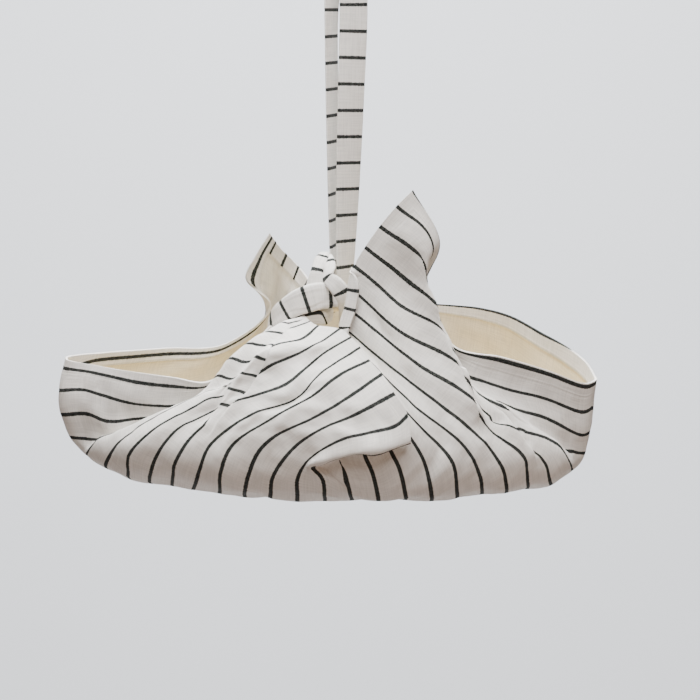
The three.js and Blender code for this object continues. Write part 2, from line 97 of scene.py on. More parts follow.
FRONT = (
    Course(0, (257, 0, 116), (247, -12, 113), (205, -36, 130), (158, -54, 146),
           (112, -61, 157), (84, -50, 212), (97, -70, 262), (71, -66, 311)),
    Course(1, (252, 0, 90), (243, -12, 87), (202, -34, 104), (157, -52, 118),
           (122, -56, 134), (62, -48, 201), (90, -73, 255), (55, -64, 295)),
    Course(2, (250, 0, 64), (242, -14, 62), (204, -38, 84), (160, -58, 101),
           (134, -61, 114), (84, -58, 177), (83, -75, 241), (39, -58, 275)),
    Course(3, (246, 0, 41.5), (238, -16, 43.5), (200, -44, 68), (158, -67, 99),
           (136, -68, 112), (100, -68, 168), (89, -76, 206), (25, -52, 254)),
    Course(4, (233, 0, 23), (230, -36, 33), (200, -58, 66), (158, -73, 94),
           (127, -76, 118), (103, -80, 170), (60, -70, 202), (15, -48, 235)),
    Course(5, (211, 0, 13), (207, -54, 24), (202, -64, 45), (178, -74, 70),
           (138, -80, 94), (120, -86, 134), (60, -77, 173), (13, -50, 211)),
    Course(6, (187, 0, 8), (185, -68, 23), (180, -80, 48), (158, -85, 67),
           (141, -87, 84), (134, -93, 101), (76, -90, 143), (9.5, -52, 193)),
    Course(7, (163, 0, 6), (163, -80, 20), (159, -92, 40), (143, -96, 65),
           (120, -99, 86), (96, -100, 106), (54, -88, 137), (4.5, -54, 174)),
    Course(8, (140, 0, 5), (139, -90, 20), (137, -100, 34), (126, -105, 58),
           (106, -108, 80), (72, -106, 105), (34, -84, 141), (10, -58, 160)),
    Course(9, (114, 0, 4), (114, -98, 20), (109, -111, 50), (100, -113, 64),
           (82, -114, 82), (58, -107, 106), (34, -91, 131), (22, -66, 147)),
    Course(10, (88, 0, 4), (89, -103, 18), (83, -117, 49), (76, -118, 64),
           (62, -114, 84), (50, -108, 104), (39, -99, 120), (32, -81, 134)),
    Course(11, (62, 0, 4), (64, -106, 18), (57, -121, 48), (49, -121, 64),
           (44, -119, 78), (41, -115, 90), (38, -110, 103), (37, -99, 118)),
    Course(12, (36, 0, 4), (37, -108, 18), (31, -124, 45), (24, -125, 61),
           (22, -120, 71), (20, -115, 81), (19, -112, 90), (20, -110, 99)),
    Course(13, (10, 0, 4), (11, -108, 18), (5, -125, 45), (-1, -126, 59),
           (3, -125, 68), (12, -124, 75), (25, -122, 81), (40, -120, 87)),
    Course(13.9, (-13, 0, 4), (-12, -108, 18), (-13, -124, 38), (-22, -127, 51),
           (6, -133, 61), (25, -134, 65), (48, -131, 68), (67, -124, 73)),
    Course(14.1, (-18, 0, 4), (-17, -108, 18), (-18, -125, 38), (-27, -132, 50),
           (5, -139, 60), (24, -140, 64), (48, -136, 67), (68, -129, 72)),
    Course(15, (-42, 0, 4), (-41, -108, 18), (-40, -125, 38), (-30, -132, 56),
           (3, -137, 77), (30, -135, 83), (55, -130, 89), (66, -124, 98)),
    Course(16, (-68, 0, 4), (-67, -108, 20), (-65, -124, 37), (-56, -129, 54),
           (-38, -132, 74), (-17, -132, 87), (20, -128, 103), (53, -118, 119)),
    Course(17, (-94, 0, 4), (-92, -106, 22), (-88, -122, 40), (-78, -128, 64),
           (-63, -129, 79), (-28, -130, 96), (4, -122, 113), (41, -104, 136)),
    Course(18, (-120, 0, 5.5), (-116, -102, 25.5), (-114, -118, 44), (-103, -123, 70),
           (-60, -124, 98), (-28, -121, 116), (4, -108, 138), (29, -94, 148)),
    Course(19, (-148, 0, 7.5), (-140, -98, 28.5), (-135, -112, 45), (-124, -117, 70),
           (-80, -117, 99), (-40, -116, 115), (-12, -104, 142), (20, -82, 159)),
    Course(20, (-166, 0, 11), (-163, -92, 33), (-160, -106, 48), (-138, -110, 81),
           (-106, -109, 105), (-50, -110, 127), (-20, -93, 152), (11, -72, 167)),
    Course(21, (-188, 0, 14), (-185, -84, 35), (-178, -98, 55), (-155, -102, 84),
           (-126, -100, 98), (-66, -100, 141), (-25, -86, 160), (0, -64, 175)),
    Course(22, (-209, 0, 18), (-207.5, -72, 36), (-205, -86, 55), (-178, -93, 80),
           (-128, -94, 110), (-66, -92, 157), (-39, -80, 165), (-21, -56, 177)),
    Course(23, (-233, 0, 25), (-229.5, -54, 41), (-218, -71, 62), (-183, -80, 89),
           (-139, -84, 111), (-105, -84, 128), (-72, -76, 163), (-29, -46, 180)),
    Course(24, (-255, 0, 37.5), (-250, -34, 47.5), (-236, -49, 64), (-190, -68, 86),
           (-140, -76, 108), (-110, -74, 144), (-76, -62, 173), (-34, -38, 183)),
    Course(25, (-270, 0, 58), (-252, -20, 58), (-222, -38, 61), (-180, -51, 69),
           (-140, -60, 84), (-110, -60, 120), (-82, -53, 153), (-38, -31, 182)),
    Course(26, (-277, 0, 81), (-250, -24, 84), (-230, -36, 79), (-192, -46, 84),
           (-148, -52, 86), (-108, -54, 106), (-80, -46, 137), (-38, -23, 181)),
    Course(27, (-280, 0, 105), (-256, -20, 108), (-234, -32, 104), (-198, -50, 98),
           (-152, -56, 100), (-106, -50, 120), (-76, -37, 152), (-39, -16, 186)),
    Course(28.3, (-274, 0, 136), (-245, -15, 132), (-199, -45, 129), (-163, -58, 126),
           (-130, -64, 122), (-98, -54, 140), (-70, -32, 172), (-40, -8, 195)),
)

BACK = (
    Course(0, (257, 0, 116), (247, 30, 131), (204, 64, 155), (176, 76, 169),
           (144, 84, 177), (99, 82, 181), (50, 59, 188), (8, 26, 195)),
    Course(2, (250, 0, 64), (240, 36, 72), (200, 74, 100), (172, 86, 120),
           (140, 92, 135), (98, 87, 152), (50, 65, 173), (5, 29, 191)),
    Course(4, (233, 0, 23), (224, 50, 36), (200, 84, 58), (164, 98, 82),
           (124, 100, 104), (84, 92, 134), (42, 72, 162), (0, 35, 187)),
    Course(6, (187, 0, 8), (176, 76, 28.5), (168, 92, 54), (142, 100, 84),
           (104, 102, 104), (48, 98, 142), (14, 80, 166), (-15, 48, 182)),
    Course(8, (140, 0, 5), (134, 92, 24.5), (124, 108, 50), (106, 112, 80),
           (64, 112, 104), (16, 112, 128), (-16, 94, 154), (-46, 70, 168)),
    Course(10, (88, 0, 4), (82, 102, 20.5), (76, 118, 44), (64, 124, 70),
           (22, 124, 98), (-12, 122, 116), (-44, 108, 138), (-68, 94, 148)),
    Course(12, (36, 0, 4), (32, 108, 18.5), (28, 124, 38), (16, 130, 58),
           (-4, 132, 76), (-30, 132, 92), (-62, 126, 108), (-90, 116, 122)),
    Course(14.1, (-18, 0, 4), (-20, 108, 16.5), (-20, 125, 38), (-10, 132, 50),
           (-42, 139, 60), (-62, 140, 64), (-86, 136, 68), (-104, 129, 72)),
    Course(14.3, (-23, 0, 4), (-25, 108, 16.5), (-25, 124, 38), (-16, 126, 52),
           (-43, 133, 62), (-63, 134, 66), (-86, 130, 70), (-103, 123, 74)),
    Course(15.3, (-50, 0, 4), (-51, 108, 16.5), (-46, 125, 45), (-39, 125, 59),
           (-43, 125, 68), (-52, 124, 75), (-65, 122, 81), (-80, 120, 87)),
    Course(16, (-68, 0, 4), (-69, 108, 16.5), (-66, 124, 45), (-60, 125, 60),
           (-58, 120, 70), (-56, 115, 80), (-56, 112, 89), (-58, 110, 98)),
    Course(17.3, (-102, 0, 4), (-104, 106, 16.5), (-97, 121, 48), (-89, 121, 64),
           (-84, 119, 78), (-80, 115, 90), (-76, 112, 101), (-72, 108, 112)),
    Course(18.3, (-128, 0, 6), (-129, 102, 17), (-123, 117, 48), (-116, 118, 64),
           (-104, 114, 82), (-88, 107, 102), (-73, 100, 119), (-58, 93, 135)),
    Course(20, (-166, 0, 11), (-167.5, 90, 23), (-164, 101, 38), (-150, 107, 60),
           (-128, 110, 84), (-98, 104, 110), (-66, 90, 136), (-38, 66, 158)),
    Course(22, (-209, 0, 18), (-206, 68, 33.5), (-194, 86, 48), (-168, 96, 70),
           (-136, 101, 96), (-98, 93, 124), (-60, 76, 152), (-28, 44, 180)),
    Course(24, (-255, 0, 37.5), (-245, 40, 45.5), (-206, 74, 60), (-164, 87, 78),
           (-122, 92, 104), (-86, 84, 134), (-52, 63, 168), (-24, 36, 199)),
    Course(26, (-277, 0, 81), (-240, 30, 84), (-182, 64, 88), (-124, 82, 104),
           (-84, 79, 142), (-57, 65, 176), (-52, 58, 204), (-45, 55, 226)),
    Course(27, (-280, 0, 105), (-238, 32, 108), (-180, 60, 110), (-122, 79, 120),
           (-80, 73, 158), (-67, 66, 190), (-67, 56, 220), (-59, 49, 241)),
    Course(28.3, (-274, 0, 138), (-239, 20, 140), (-178, 58, 139), (-119, 73, 141),
           (-71, 55, 185), (-96, 48, 211), (-85, 44, 236), (-71, 42, 258)),
)


@dataclass(frozen=True)
class PleatRow:
    """One place along a pleat in the flat cloth, as stripe and share of the way to the hem."""

    stripe: float
    share: float
    lap: float  # millimetres of overlap
    drop: float  # how far the under layer sinks


@dataclass(frozen=True)
class Pleat:
    """A place where the cloth laps over itself.

    Shares are negative on the back half. The layer on the left of the course lies on top.
    """

    name: str
    rows: tuple[PleatRow, ...]
    lift: float  # how far the top layer stands proud
    over: float  # how far the top layer gives way beside the line
    under: float  # how far the under layer gives way
    sink: float  # the width of the hollow beside the line
    sideways: bool = False  # whether the cloth is taken up across the stripes only


@dataclass(frozen=True)
class Ripple:
    """A soft ridge, or a trough where its height is negative, along a course in the flat cloth."""

    name: str
    course: tuple[Place, ...]
    height: float
    width: float


@dataclass(frozen=True)
class Slide:
    """How far the print has slipped round one place, in stripes."""

    stripe: float
    share: float
    across: float
    reach_across: float  # in stripes
    reach_along: float  # in shares


@dataclass(frozen=True)
class PrintRun:
    """How the print runs over a gathered part of the cloth, in stripes."""

    per_stripe: float
    per_share: float
    start: float

    def shift(self, stripe: np.ndarray, share: np.ndarray) -> np.ndarray:
        """Works out how far the print lies from its own course.

        Args:
            stripe: places across the cloth.
            share: places along it.

        Returns:
            The distances in stripes.
        """
        return self.per_stripe * stripe + self.per_share * share + self.start - stripe


@dataclass(frozen=True)
class RollRow:
    """How much of the front hem is rolled outward at one stripe, from 0 to 1."""

    stripe: float
    rolled: float


PLEATS = (
    Pleat("panel_pleat", (PleatRow(19.3, 0.46, 0, 0), PleatRow(20.0, 0.59, 4.5, 2.5),
                          PleatRow(20.9, 0.70, 5.5, 4), PleatRow(21.4, 0.765, 5.5, 4.5),
                          PleatRow(22.2, 0.835, 5, 4.5), PleatRow(23.3, 0.95, 0, 0)),
          lift=1.3, over=34, under=20, sink=11),
    Pleat("tail_fold", (PleatRow(1.9, 0.87, 0, 0), PleatRow(2.95, 0.75, 9, 2),
                        PleatRow(3.95, 0.68, 11, 2), PleatRow(4.95, 0.62, 9, 2),
                        PleatRow(5.95, 0.53, 5, 1.5), PleatRow(6.8, 0.44, 0, 0)),
          lift=1.3, over=40, under=40, sink=14),
    Pleat("wing_fold", (PleatRow(4.6, 0.60, 0, 0), PleatRow(4.2, 0.50, 15, 3),
                        PleatRow(4.15, 0.44, 16, 4), PleatRow(4.4, 0.39, 13, 4),
                        PleatRow(4.95, 0.362, 10, 3), PleatRow(5.2, 0.335, 8, 2),
                        PleatRow(5.35, 0.30, 4, 1), PleatRow(5.4, 0.26, 0, 0)),
          lift=1.8, over=40, under=30, sink=10, sideways=True),
    Pleat("wing_pleat", (PleatRow(2.7, 0.60, 0, 0), PleatRow(2.5, 0.50, 17, 3),
                         PleatRow(2.5, 0.44, 20, 4), PleatRow(3.05, 0.39, 14, 4),
                         PleatRow(3.35, 0.35, 12, 4), PleatRow(3.55, 0.29, 13, 3.5),
                         PleatRow(3.62, 0.22, 12, 3), PleatRow(3.4, 0.14, 8, 2),
                         PleatRow(3.2, 0.07, 0, 0)),
          lift=2.0, over=30, under=42, sink=10, sideways=True),
)

SLIDES = (
    Slide(3.9, 0.35, -0.6, 1.3, 0.13),
    Slide(3.4, 0.80, -0.3, 0.9, 0.10),
    Slide(0.8, 0.91, 0.22, 0.8, 0.06),
    Slide(28.1, 0.30, 0.10, 0.8, 0.5),
)

GATHER = ((19.9, 0.46), (20.78, 0.555), (21.53, 0.62), (22.1, 0.70), (22.43, 0.76), (22.6, 0.83),
          (23.0, 0.95))  # the crease beyond which the cloth is gathered into the knot
BEYOND_CREASE = PrintRun(per_stripe=0.62, per_share=14.5, start=-0.1)
BETWEEN = PrintRun(per_stripe=0.0, per_share=15.8, start=10.9)  # from the panel's pleat to that crease

RIPPLES = (
    Ripple("crease_ridge", ((20.1, 0.50), (20.6, 0.555), (21.3, 0.625), (21.85, 0.70), (22.15, 0.76),
                            (22.35, 0.83), (22.7, 0.93)), 2.2, 3.2),
    Ripple("crease_valley", ((20.3, 0.48), (20.95, 0.55), (21.75, 0.615), (22.35, 0.695),
                             (22.7, 0.755), (22.9, 0.83), (23.2, 0.93)), -2.0, 3.0),
    Ripple("panel_ridge", ((17.2, 0.36), (18.2, 0.47), (18.9, 0.60), (19.4, 0.72), (20.4, 0.84),
                           (21.3, 0.94)), 2.4, 9.0),
    Ripple("panel_hollow", ((18.2, 0.42), (19.2, 0.55), (19.9, 0.66), (20.7, 0.78), (21.6, 0.90)),
           -1.6, 8.0),
    Ripple("flap_crease", ((15.6, 0.26), (16.0, 0.36), (16.6, 0.50), (17.6, 0.66), (18.6, 0.82)),
           1.5, 7.0),
    Ripple("back_tail_fold", ((25.2, -0.97), (25.6, -0.90), (26.0, -0.82), (26.1, -0.74)), -7.0, 7.0),
    Ripple("back_tail_hollow", ((26.6, -0.95), (26.9, -0.88), (27.0, -0.80), (27.0, -0.72)), 5.0, 6.0),
)

ROLL = (RollRow(0, 0), RollRow(3.9, 0), RollRow(4.4, 0.7), RollRow(5.0, 1), RollRow(9.5, 1),
        RollRow(10.6, 0), RollRow(LEFT_EDGE, 0))
ROLL_DEPTH = 15.0  # millimetres of the hem that roll
ROLL_SPREAD = 1.25  # how much longer its arc is than the cloth that rolls
ROLL_RADIUS = 3.0
ROLL_EASE = 150.0  # over how many millimetres the cloth below it gives way


@dataclass(frozen=True)
class BandRow:
    """One section of a folded band: its centre, its size, its width's direction and its print."""

    at: Point
    wide: float
    thick: float
    across: Point
    stripe: float  # whole numbers lie on a stripe
    slant: float = 0.0  # how many stripes the print changes over the band's width


LEFT_BAND = (
    BandRow((-50, 12, 168), 18, 8, (0, 0, 1), -1.0),
    BandRow((-62, 0, 169), 20, 8, (-0.1, 0, 1), -0.5),
    BandRow((-67.5, -14, 173), 22, 8, (0.18, 0, 1), -0.3),
    BandRow((-62, -27, 181), 23, 8, (0.1, 0.1, 1), 0.25),
    BandRow((-53, -33, 189.5), 23, 8, (0.05, 0.15, 1), 1.0),
    BandRow((-43.5, -36, 196), 25, 8, (-0.08, 0.15, 1), 1.5),
    BandRow((-33.5, -37, 200), 27, 8, (-0.2, 0.12, 1), 2.0),
    BandRow((-22.5, -36, 203), 27, 8, (-0.28, 0.1, 0.95), 2.5),
    BandRow((-12, -33, 203.5), 25, 8, (-0.32, 0, 0.95), 2.95),
    BandRow((-5.5, -25, 202), 21, 7, (-0.36, 0, 0.93), 3.4),
    BandRow((-2.5, -13, 200), 16, 7, (-0.3, 0, 0.95), 3.8),
)
OVER_BAND = (
    BandRow((-22, -27, 199), 22, 7, (0.97, 0, 0.2), -1.0),
    BandRow((-23, -27, 211), 21, 7, (0.97, 0, 0.22), -0.6),
    BandRow((-22.8, -25, 220.5), 15.5, 7, (0.97, 0, 0.2), -0.25),
    BandRow((-22, -22, 227), 12, 7, (0.97, 0, 0.12), 0.0),
    BandRow((-18.8, -15, 234.5), 13.5, 7, (0.97, 0.05, 0.02), 0.6),
    BandRow((-16.2, -8, 239.5), 11, 6, (0.97, 0.1, 0), 1.15),
    BandRow((-14.5, 0, 240.5), 9.5, 6, (0.97, 0.1, 0), 1.35),
    BandRow((-11, 8, 235), 12, 7, (0.97, 0.1, 0), 1.8),
    BandRow((-8, 13, 224), 15, 8, (0.97, 0.1, 0), 2.4),
    BandRow((-6, 16, 210), 16, 9, (0.97, 0.1, 0), 3.0),
)
RIGHT_BAND = (
    BandRow((-10.5, -4, 239), 6, 5, (1, 0, 0.1), -0.4),
    BandRow((-9.2, -16, 235), 9, 5, (0.97, 0, 0.25), 0.0),
    BandRow((-9.8, -26, 229), 12, 5, (0.85, 0, 0.5), 0.45),
    BandRow((-11.3, -34, 221.5), 13, 5.5, (0.525, 0, 0.85), 1.0),
    BandRow((-4.4, -40, 215.5), 16.5, 5.5, (0.6, 0, 0.8), 1.5),
    BandRow((1.2, -41, 208), 16.5, 5.5, (0.72, 0, 0.7), 2.0),
    BandRow((3.6, -39, 198), 12.5, 5.5, (0.95, 0, 0.3), 2.35),
    BandRow((2.6, -34, 187), 8.5, 5, (1, 0, 0.1), 2.5),
    BandRow((1, -24, 174), 6, 4, (1, 0, 0), 2.6),
)
UNDER_BAND = (
    BandRow((-50, -26, 176), 11, 6, (0, 0, 1), 0.80, 0.5),
    BandRow((-42, -31, 178.5), 12, 6, (0, 0, 1), 0.80, 0.5),
    BandRow((-33, -34, 181), 13, 6, (0, 0, 1), 0.82, 0.55),
    BandRow((-25, -34.5, 182.5), 14.5, 6, (0, 0, 1), 0.82, 0.55),
    BandRow((-19, -33, 182.5), 15.5, 6, (0, 0, 1), 0.86, 0.6),
    BandRow((-14.5, -29, 182.5), 15.5, 6, (0.05, 0, 1), 1.3, 0.6),
    BandRow((-10.5, -20, 183.5), 14, 6, (0, 0, 1), 1.55, 0.5),
    BandRow((-9, -9, 185), 11, 6, (0, 0, 1), 1.7, 0.4),
)
CORE_BAND = (
    BandRow((-56, -4, 176), 16, 12, (0, 0, 1), 0.3),
    BandRow((-44, -10, 188), 22, 20, (0, 0, 1), 0.45),
    BandRow((-26, -8, 194), 26, 24, (0, 0, 1), 0.5),
    BandRow((-6, -2, 196), 24, 22, (0, 0, 1), 0.55),
    BandRow((8, 5, 194), 18, 14, (0, 0, 1), 0.6),
)
BACK_BAND = (
    BandRow((-56, 48, 172), 26, 12, (0.3, 0.1, 0.9), 0.4),
    BandRow((-36, 38, 184), 28, 18, (0.2, 0.1, 1), 0.5),
    BandRow((-16, 30, 193), 28, 22, (0, 0, 1), 0.55),
    BandRow((4, 20, 196), 25, 20, (0, 0, 1), 0.6),
    BandRow((12, 6, 196), 22, 16, (0, 0, 1), 0.65),
    BandRow((7, -6, 194), 18, 12, (0, 0, 1), 0.7),
)


@dataclass(frozen=True)
class StrandRow:
    """One section of the strap: its centre, and its width's turn from the X axis in degrees."""

    x: float
    y: float
    z: float
    turn: float


RIGHT_STRAND = (
    StrandRow(3, 6, 198, 56),
    StrandRow(5, 4, 224, 53),
    StrandRow(7.5, 2, 300, 35),
    StrandRow(11, 0, 400, 18),
    StrandRow(13.5, 0, 491, 2),
    StrandRow(9, -3, 550, 0),
)
LEFT_STRAND = (
    StrandRow(-2, 12, 550, 26),
    StrandRow(-8, 8, 491, 60),
    StrandRow(-8, 8, 400, 66),
    StrandRow(-7.5, 9, 300, 74),
    StrandRow(-6.5, 10, 224, 80),
    StrandRow(-6, 11, 198, 82),
)


def unit(vectors: np.ndarray) -> np.ndarray:
    """Scales each row to length one.

    Args:
        vectors: rows of x, y and z.

    Returns:
        The rows, each of length one.
    """
    return vectors / np.maximum(np.linalg.norm(vectors, axis=-1, keepdims=True), 1e-9)


def soft_step(low: float, high: float, values: np.ndarray) -> np.ndarray:
    """Rises smoothly from 0 to 1.

    Args:
        low: the value at which the rise starts.
        high: the value at which it ends.
        values: where to evaluate it.

    Returns:
        The height of the step at each value.
    """
    t = np.clip((values - low) / (high - low), 0, 1)
    return t * t * (3 - 2 * t)


def fade(share: np.ndarray, ends: float = 0.3) -> np.ndarray:
    """Fades a feature out at both ends of its course.

    Args:
        share: how far along the course each place is.
        ends: the share of the course over which it fades.

    Returns:
        The strength of the feature there, from 0 to 1.
    """
    return soft_step(0, ends, share) * soft_step(0, ends, 1 - share)


def smooth_curve(knots: np.ndarray, rows: np.ndarray, at: np.ndarray,
                 start_slope: np.ndarray | None = None) -> np.ndarray:
    """Runs a smooth curve through rows of numbers.

    Args:
        knots: the parameter at which each row lies, rising.
        rows: the numbers to pass through, a row for each knot.
        at: the parameters to evaluate.
        start_slope: the slope at the first knot, if it isn't the first chord's.

    Returns:
        One row for each parameter in at.
    """
    steps = np.diff(knots)
    chords = np.diff(rows, axis=0) / steps[:, None]
    slopes = np.empty_like(rows)
    slopes[0] = chords[0] if start_slope is None else start_slope
    slopes[-1] = chords[-1]
    before, after = steps[:-1, None], steps[1:, None]
    slopes[1:-1] = (chords[:-1] * after + chords[1:] * before) / (before + after)
    i = np.clip(np.searchsorted(knots, at, side="right") - 1, 0, len(steps) - 1)
    h = steps[i][:, None]
    t = ((at - knots[i]) / steps[i])[:, None]
    return ((2 * t**3 - 3 * t**2 + 1) * rows[i] + (t**3 - 2 * t**2 + t) * h * slopes[i]
            + (3 * t**2 - 2 * t**3) * rows[i + 1] + (t**3 - t**2) * h * slopes[i + 1])


def run_through(rows: np.ndarray, steps: int) -> np.ndarray:
    """Runs a smooth curve through a table, with as many steps from each row to the next.

    Args:
        rows: the table.
        steps: how many steps there are.

    Returns:
        A row for each step.
    """
    knots = np.arange(len(rows), dtype=float)
    return smooth_curve(knots, rows, np.linspace(0, knots[-1], (len(rows) - 1) * steps + 1))


def travel(line: np.ndarray) -> np.ndarray:
    """Measures how far along a line each of its points lies.

    Args:
        line: the points in order.

    Returns:
        The distances from the first point.
    """
    return np.concatenate([[0], np.cumsum(np.linalg.norm(np.diff(line, axis=0), axis=1))])


def look_up(wanted: np.ndarray, travelled: np.ndarray, rows: np.ndarray) -> np.ndarray:
    """Finds rows at distances along a line.

    Args:
        wanted: the distances.
        travelled: how far along the line each row lies.
        rows: rows of x, y and z.

    Returns:
        A row for each wanted distance.
    """
    return np.stack([np.interp(wanted, travelled, rows[:, k]) for k in range(3)], 1)


def square_to(ahead: np.ndarray, vectors: np.ndarray) -> np.ndarray:
    """Turns vectors square to a heading.

    Args:
        ahead: the heading, as rows of unit vectors.
        vectors: rows of directions.

    Returns:
        Rows of unit vectors.
    """
    return unit(vectors - ahead * (vectors * ahead).sum(1, keepdims=True))


def skin(rings: int, sides: int) -> tuple[list[Face], list[tuple[int, int]]]:
    """Skins a row of rings with cells.

    Args:
        rings: how many rings there are.
        sides: how many points each of them has.

    Returns:
        The cells, as places in the rings laid end to end, and for each of their corners its ring
        and its place round it, which passes the last point where the ring closes.
    """
    cells, corners = [], []
    for ring in range(rings - 1):
        for place in range(sides):
            cell = [(ring, place), (ring, place + 1), (ring + 1, place + 1), (ring + 1, place)]
            cells.append(tuple(i * sides + k % sides for i, k in cell))
            corners += cell
    return cells, corners


def into_frame(points: np.ndarray) -> np.ndarray:
    """Moves points from the layout, whose base is at height 0, into the frame, in metres.

    Args:
        points: rows of x, y and z in millimetres.

    Returns:
        Rows in metres, with the strap's top where the frame has it.
    """
    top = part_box("strap")[1].z / MM
    return (points + np.array([-LOOP_X, -LOOP_Y, top - LAYOUT_TOP - STRAP_THICKNESS / 2])) * MM


def put_in_scene(name: str, data: bpy.types.ID) -> bpy.types.Object:
    """Makes an object and links it into the scene.

    Args:
        name: its name.
        data: its mesh, light or camera.

    Returns:
        The object.
    """
    thing = bpy.data.objects.new(name, data)
    bpy.context.scene.collection.objects.link(thing)
    return thing


def aim(thing: bpy.types.Object, place: Point, toward: Point) -> None:
    """Puts a camera or a light in its place and points it.

    Args:
        thing: the camera or light.
        place: where it stands.
        toward: what it points at.
    """
    thing.location = place
    ray = Vector(toward) - Vector(place)
    thing.rotation_euler = ray.to_track_quat("-Z", "Y").to_euler()


def make_piece(name: str, points: np.ndarray, faces: list[Face], maps: dict[str, np.ndarray],
               finish: bpy.types.Material) -> bpy.types.Object:
    """Makes one piece, smooth all over.

    Args:
        name: its name.
        points: rows of x, y and z in millimetres of the layout.
        faces: its faces, as places in those rows.
        maps: for each map's name, a row for each corner of each face.
        finish: its material.

    Returns:
        The piece, linked into the scene.
    """
    mesh = bpy.data.meshes.new(name)
    mesh.from_pydata(into_frame(points).tolist(), [], faces)
    for title, rows in maps.items():
        layer = mesh.uv_layers.new(name=title)
        layer.data.foreach_set("uv", rows.astype(np.float32).ravel())
    mesh.polygons.foreach_set("use_smooth", [True] * len(mesh.polygons))
    mesh.materials.append(finish)
    mesh.validate()
    mesh.update()
    return put_in_scene(name, mesh)


def face_marks(printed: np.ndarray | float, edge: np.ndarray | float, count: int) -> np.ndarray:
    """Fills the map that tells a piece's printed face from its plain one.

    Args:
        printed: 1 on the printed face and 0 on the plain one.
        edge: centimetres to the nearest edge of the cloth.
        count: how many corners the map has.

    Returns:
        A row for each corner.
    """
    return np.stack([np.broadcast_to(np.asarray(part, float), count) for part in (printed, edge)], 1)


@dataclass
class Drape:
    """The smooth shape in which the cloth hangs, as a function of stripe and share."""

    steep: float = 0.6  # how strongly far points stretch the parameter of a course
    samples_across: int = 1133
    samples_along: int = 240  # from the keel to a hem
    samples_first: int = 600  # along a course, before they are spaced evenly
    near_stripe: float = 0.06  # how far apart places are compared to find a direction
    near_share: float = 0.005

    def __post_init__(self) -> None:
        """Samples both halves of the cloth on a fine net."""
        front = self.half(FRONT, Side.FRONT)
        back = self.half(BACK, Side.BACK)
        self.net = np.concatenate([back[:, ::-1], front[:, 1:]], axis=1)

    def half(self, table: tuple[Course, ...], side: Side) -> np.ndarray:
        """Samples one half of the cloth.

        Args:
            table: the courses of its stripes.
            side: which half it is.

        Returns:
            Points by stripe and by share, from the keel to the hem.
        """
        rows = []
        for course in table:
            points = course.points()
            gaps = np.linalg.norm(np.diff(points, axis=0), axis=1)
            knots = np.concatenate([[0], np.cumsum(gaps**self.steep)])
            slope = np.array([0, side.value * gaps[0] ** (1 - self.steep), 0])
            fine = smooth_curve(knots, points, np.linspace(0, knots[-1], self.samples_first), slope)
            travelled = travel(fine)
            wanted = np.linspace(0, travelled[-1], self.samples_along + 1)
            rows.append(look_up(wanted, travelled, fine).ravel())
        knots = np.array([course.stripe for course in table])
        stripes = np.linspace(0, LEFT_EDGE, self.samples_across)
        return smooth_curve(knots, np.array(rows), stripes).reshape(self.samples_across, -1, 3)

    def at(self, stripe: np.ndarray, share: np.ndarray) -> np.ndarray:
        """Looks up where places of the cloth hang.

        Args:
            stripe: places across the cloth.
            share: places along it, from -1 at the back hem to 1 at the front hem.

        Returns:
            Rows of x, y and z in millimetres.
        """
        a = np.clip(stripe / LEFT_EDGE, 0, 1) * (self.net.shape[0] - 1)
        b = np.clip((share + 1) / 2, 0, 1) * (self.net.shape[1] - 1)
        i = np.minimum(a.astype(int), self.net.shape[0] - 2)
        j = np.minimum(b.astype(int), self.net.shape[1] - 2)
        p, q = (a - i)[:, None], (b - j)[:, None]
        low = self.net[i, j] * (1 - q) + self.net[i, j + 1] * q
        high = self.net[i + 1, j] * (1 - q) + self.net[i + 1, j + 1] * q
        return low * (1 - p) + high * p

    def across(self, stripe: np.ndarray, share: np.ndarray) -> np.ndarray:
        """Works out the direction across the stripes, toward the left edge.

        Args:
            stripe: places across the cloth.
            share: places along it.

        Returns:
            Rows of x, y and z.
        """
        return self.at(stripe + self.near_stripe, share) - self.at(stripe - self.near_stripe, share)

    def outward(self, stripe: np.ndarray, share: np.ndarray) -> np.ndarray:
        """Works out the direction square to the cloth, away from the inside of the bag.

        Args:
            stripe: places across the cloth.
            share: places along it.

        Returns:
            Rows of unit vectors.
        """
        along = self.at(stripe, share + self.near_share) - self.at(stripe, share - self.near_share)
        return unit(np.cross(along, self.across(stripe, share)))


@dataclass
class FlatLine:
    """A course in the flat cloth, measured in millimetres."""

    course: tuple[Place, ...]
    samples: int = 160
    batch: int = 20000  # how many places are measured at once

    def __post_init__(self) -> None:
        """Smooths the course."""
        places = np.array(self.course, float) * [PITCH, HALF_LENGTH]
        knots = travel(places)
        self.length = knots[-1]
        self.knots = knots / self.length
        self.travelled = np.linspace(0, self.length, self.samples)
        self.points = smooth_curve(knots, places, self.travelled)
        self.heading = unit(np.gradient(self.points, axis=0))

    def measure(self, flat: np.ndarray) -> tuple[np.ndarray, np.ndarray, np.ndarray]:
        """Measures places against the line.

        Args:
            flat: rows of places in the flat cloth, in millimetres.

        Returns:
            The distance from the line, above 0 on its left; how far along it is, from 0 to 1;
            and the direction away from the line on its left.
        """
        nearest = np.empty(len(flat), int)
        for start in range(0, len(flat), self.batch):
            part = flat[start:start + self.batch, None] - self.points[None]
            nearest[start:start + self.batch] = (part**2).sum(-1).argmin(1)
        heading = self.heading[nearest]
        left = np.stack([-heading[:, 1], heading[:, 0]], 1)
        away = flat - self.points[nearest]
        return (away * left).sum(1), self.travelled[nearest] / self.length, left


@dataclass(frozen=True)
class Wave:
    """A size of wave: how long and how high it is, in millimetres."""

    length: float
    height: float


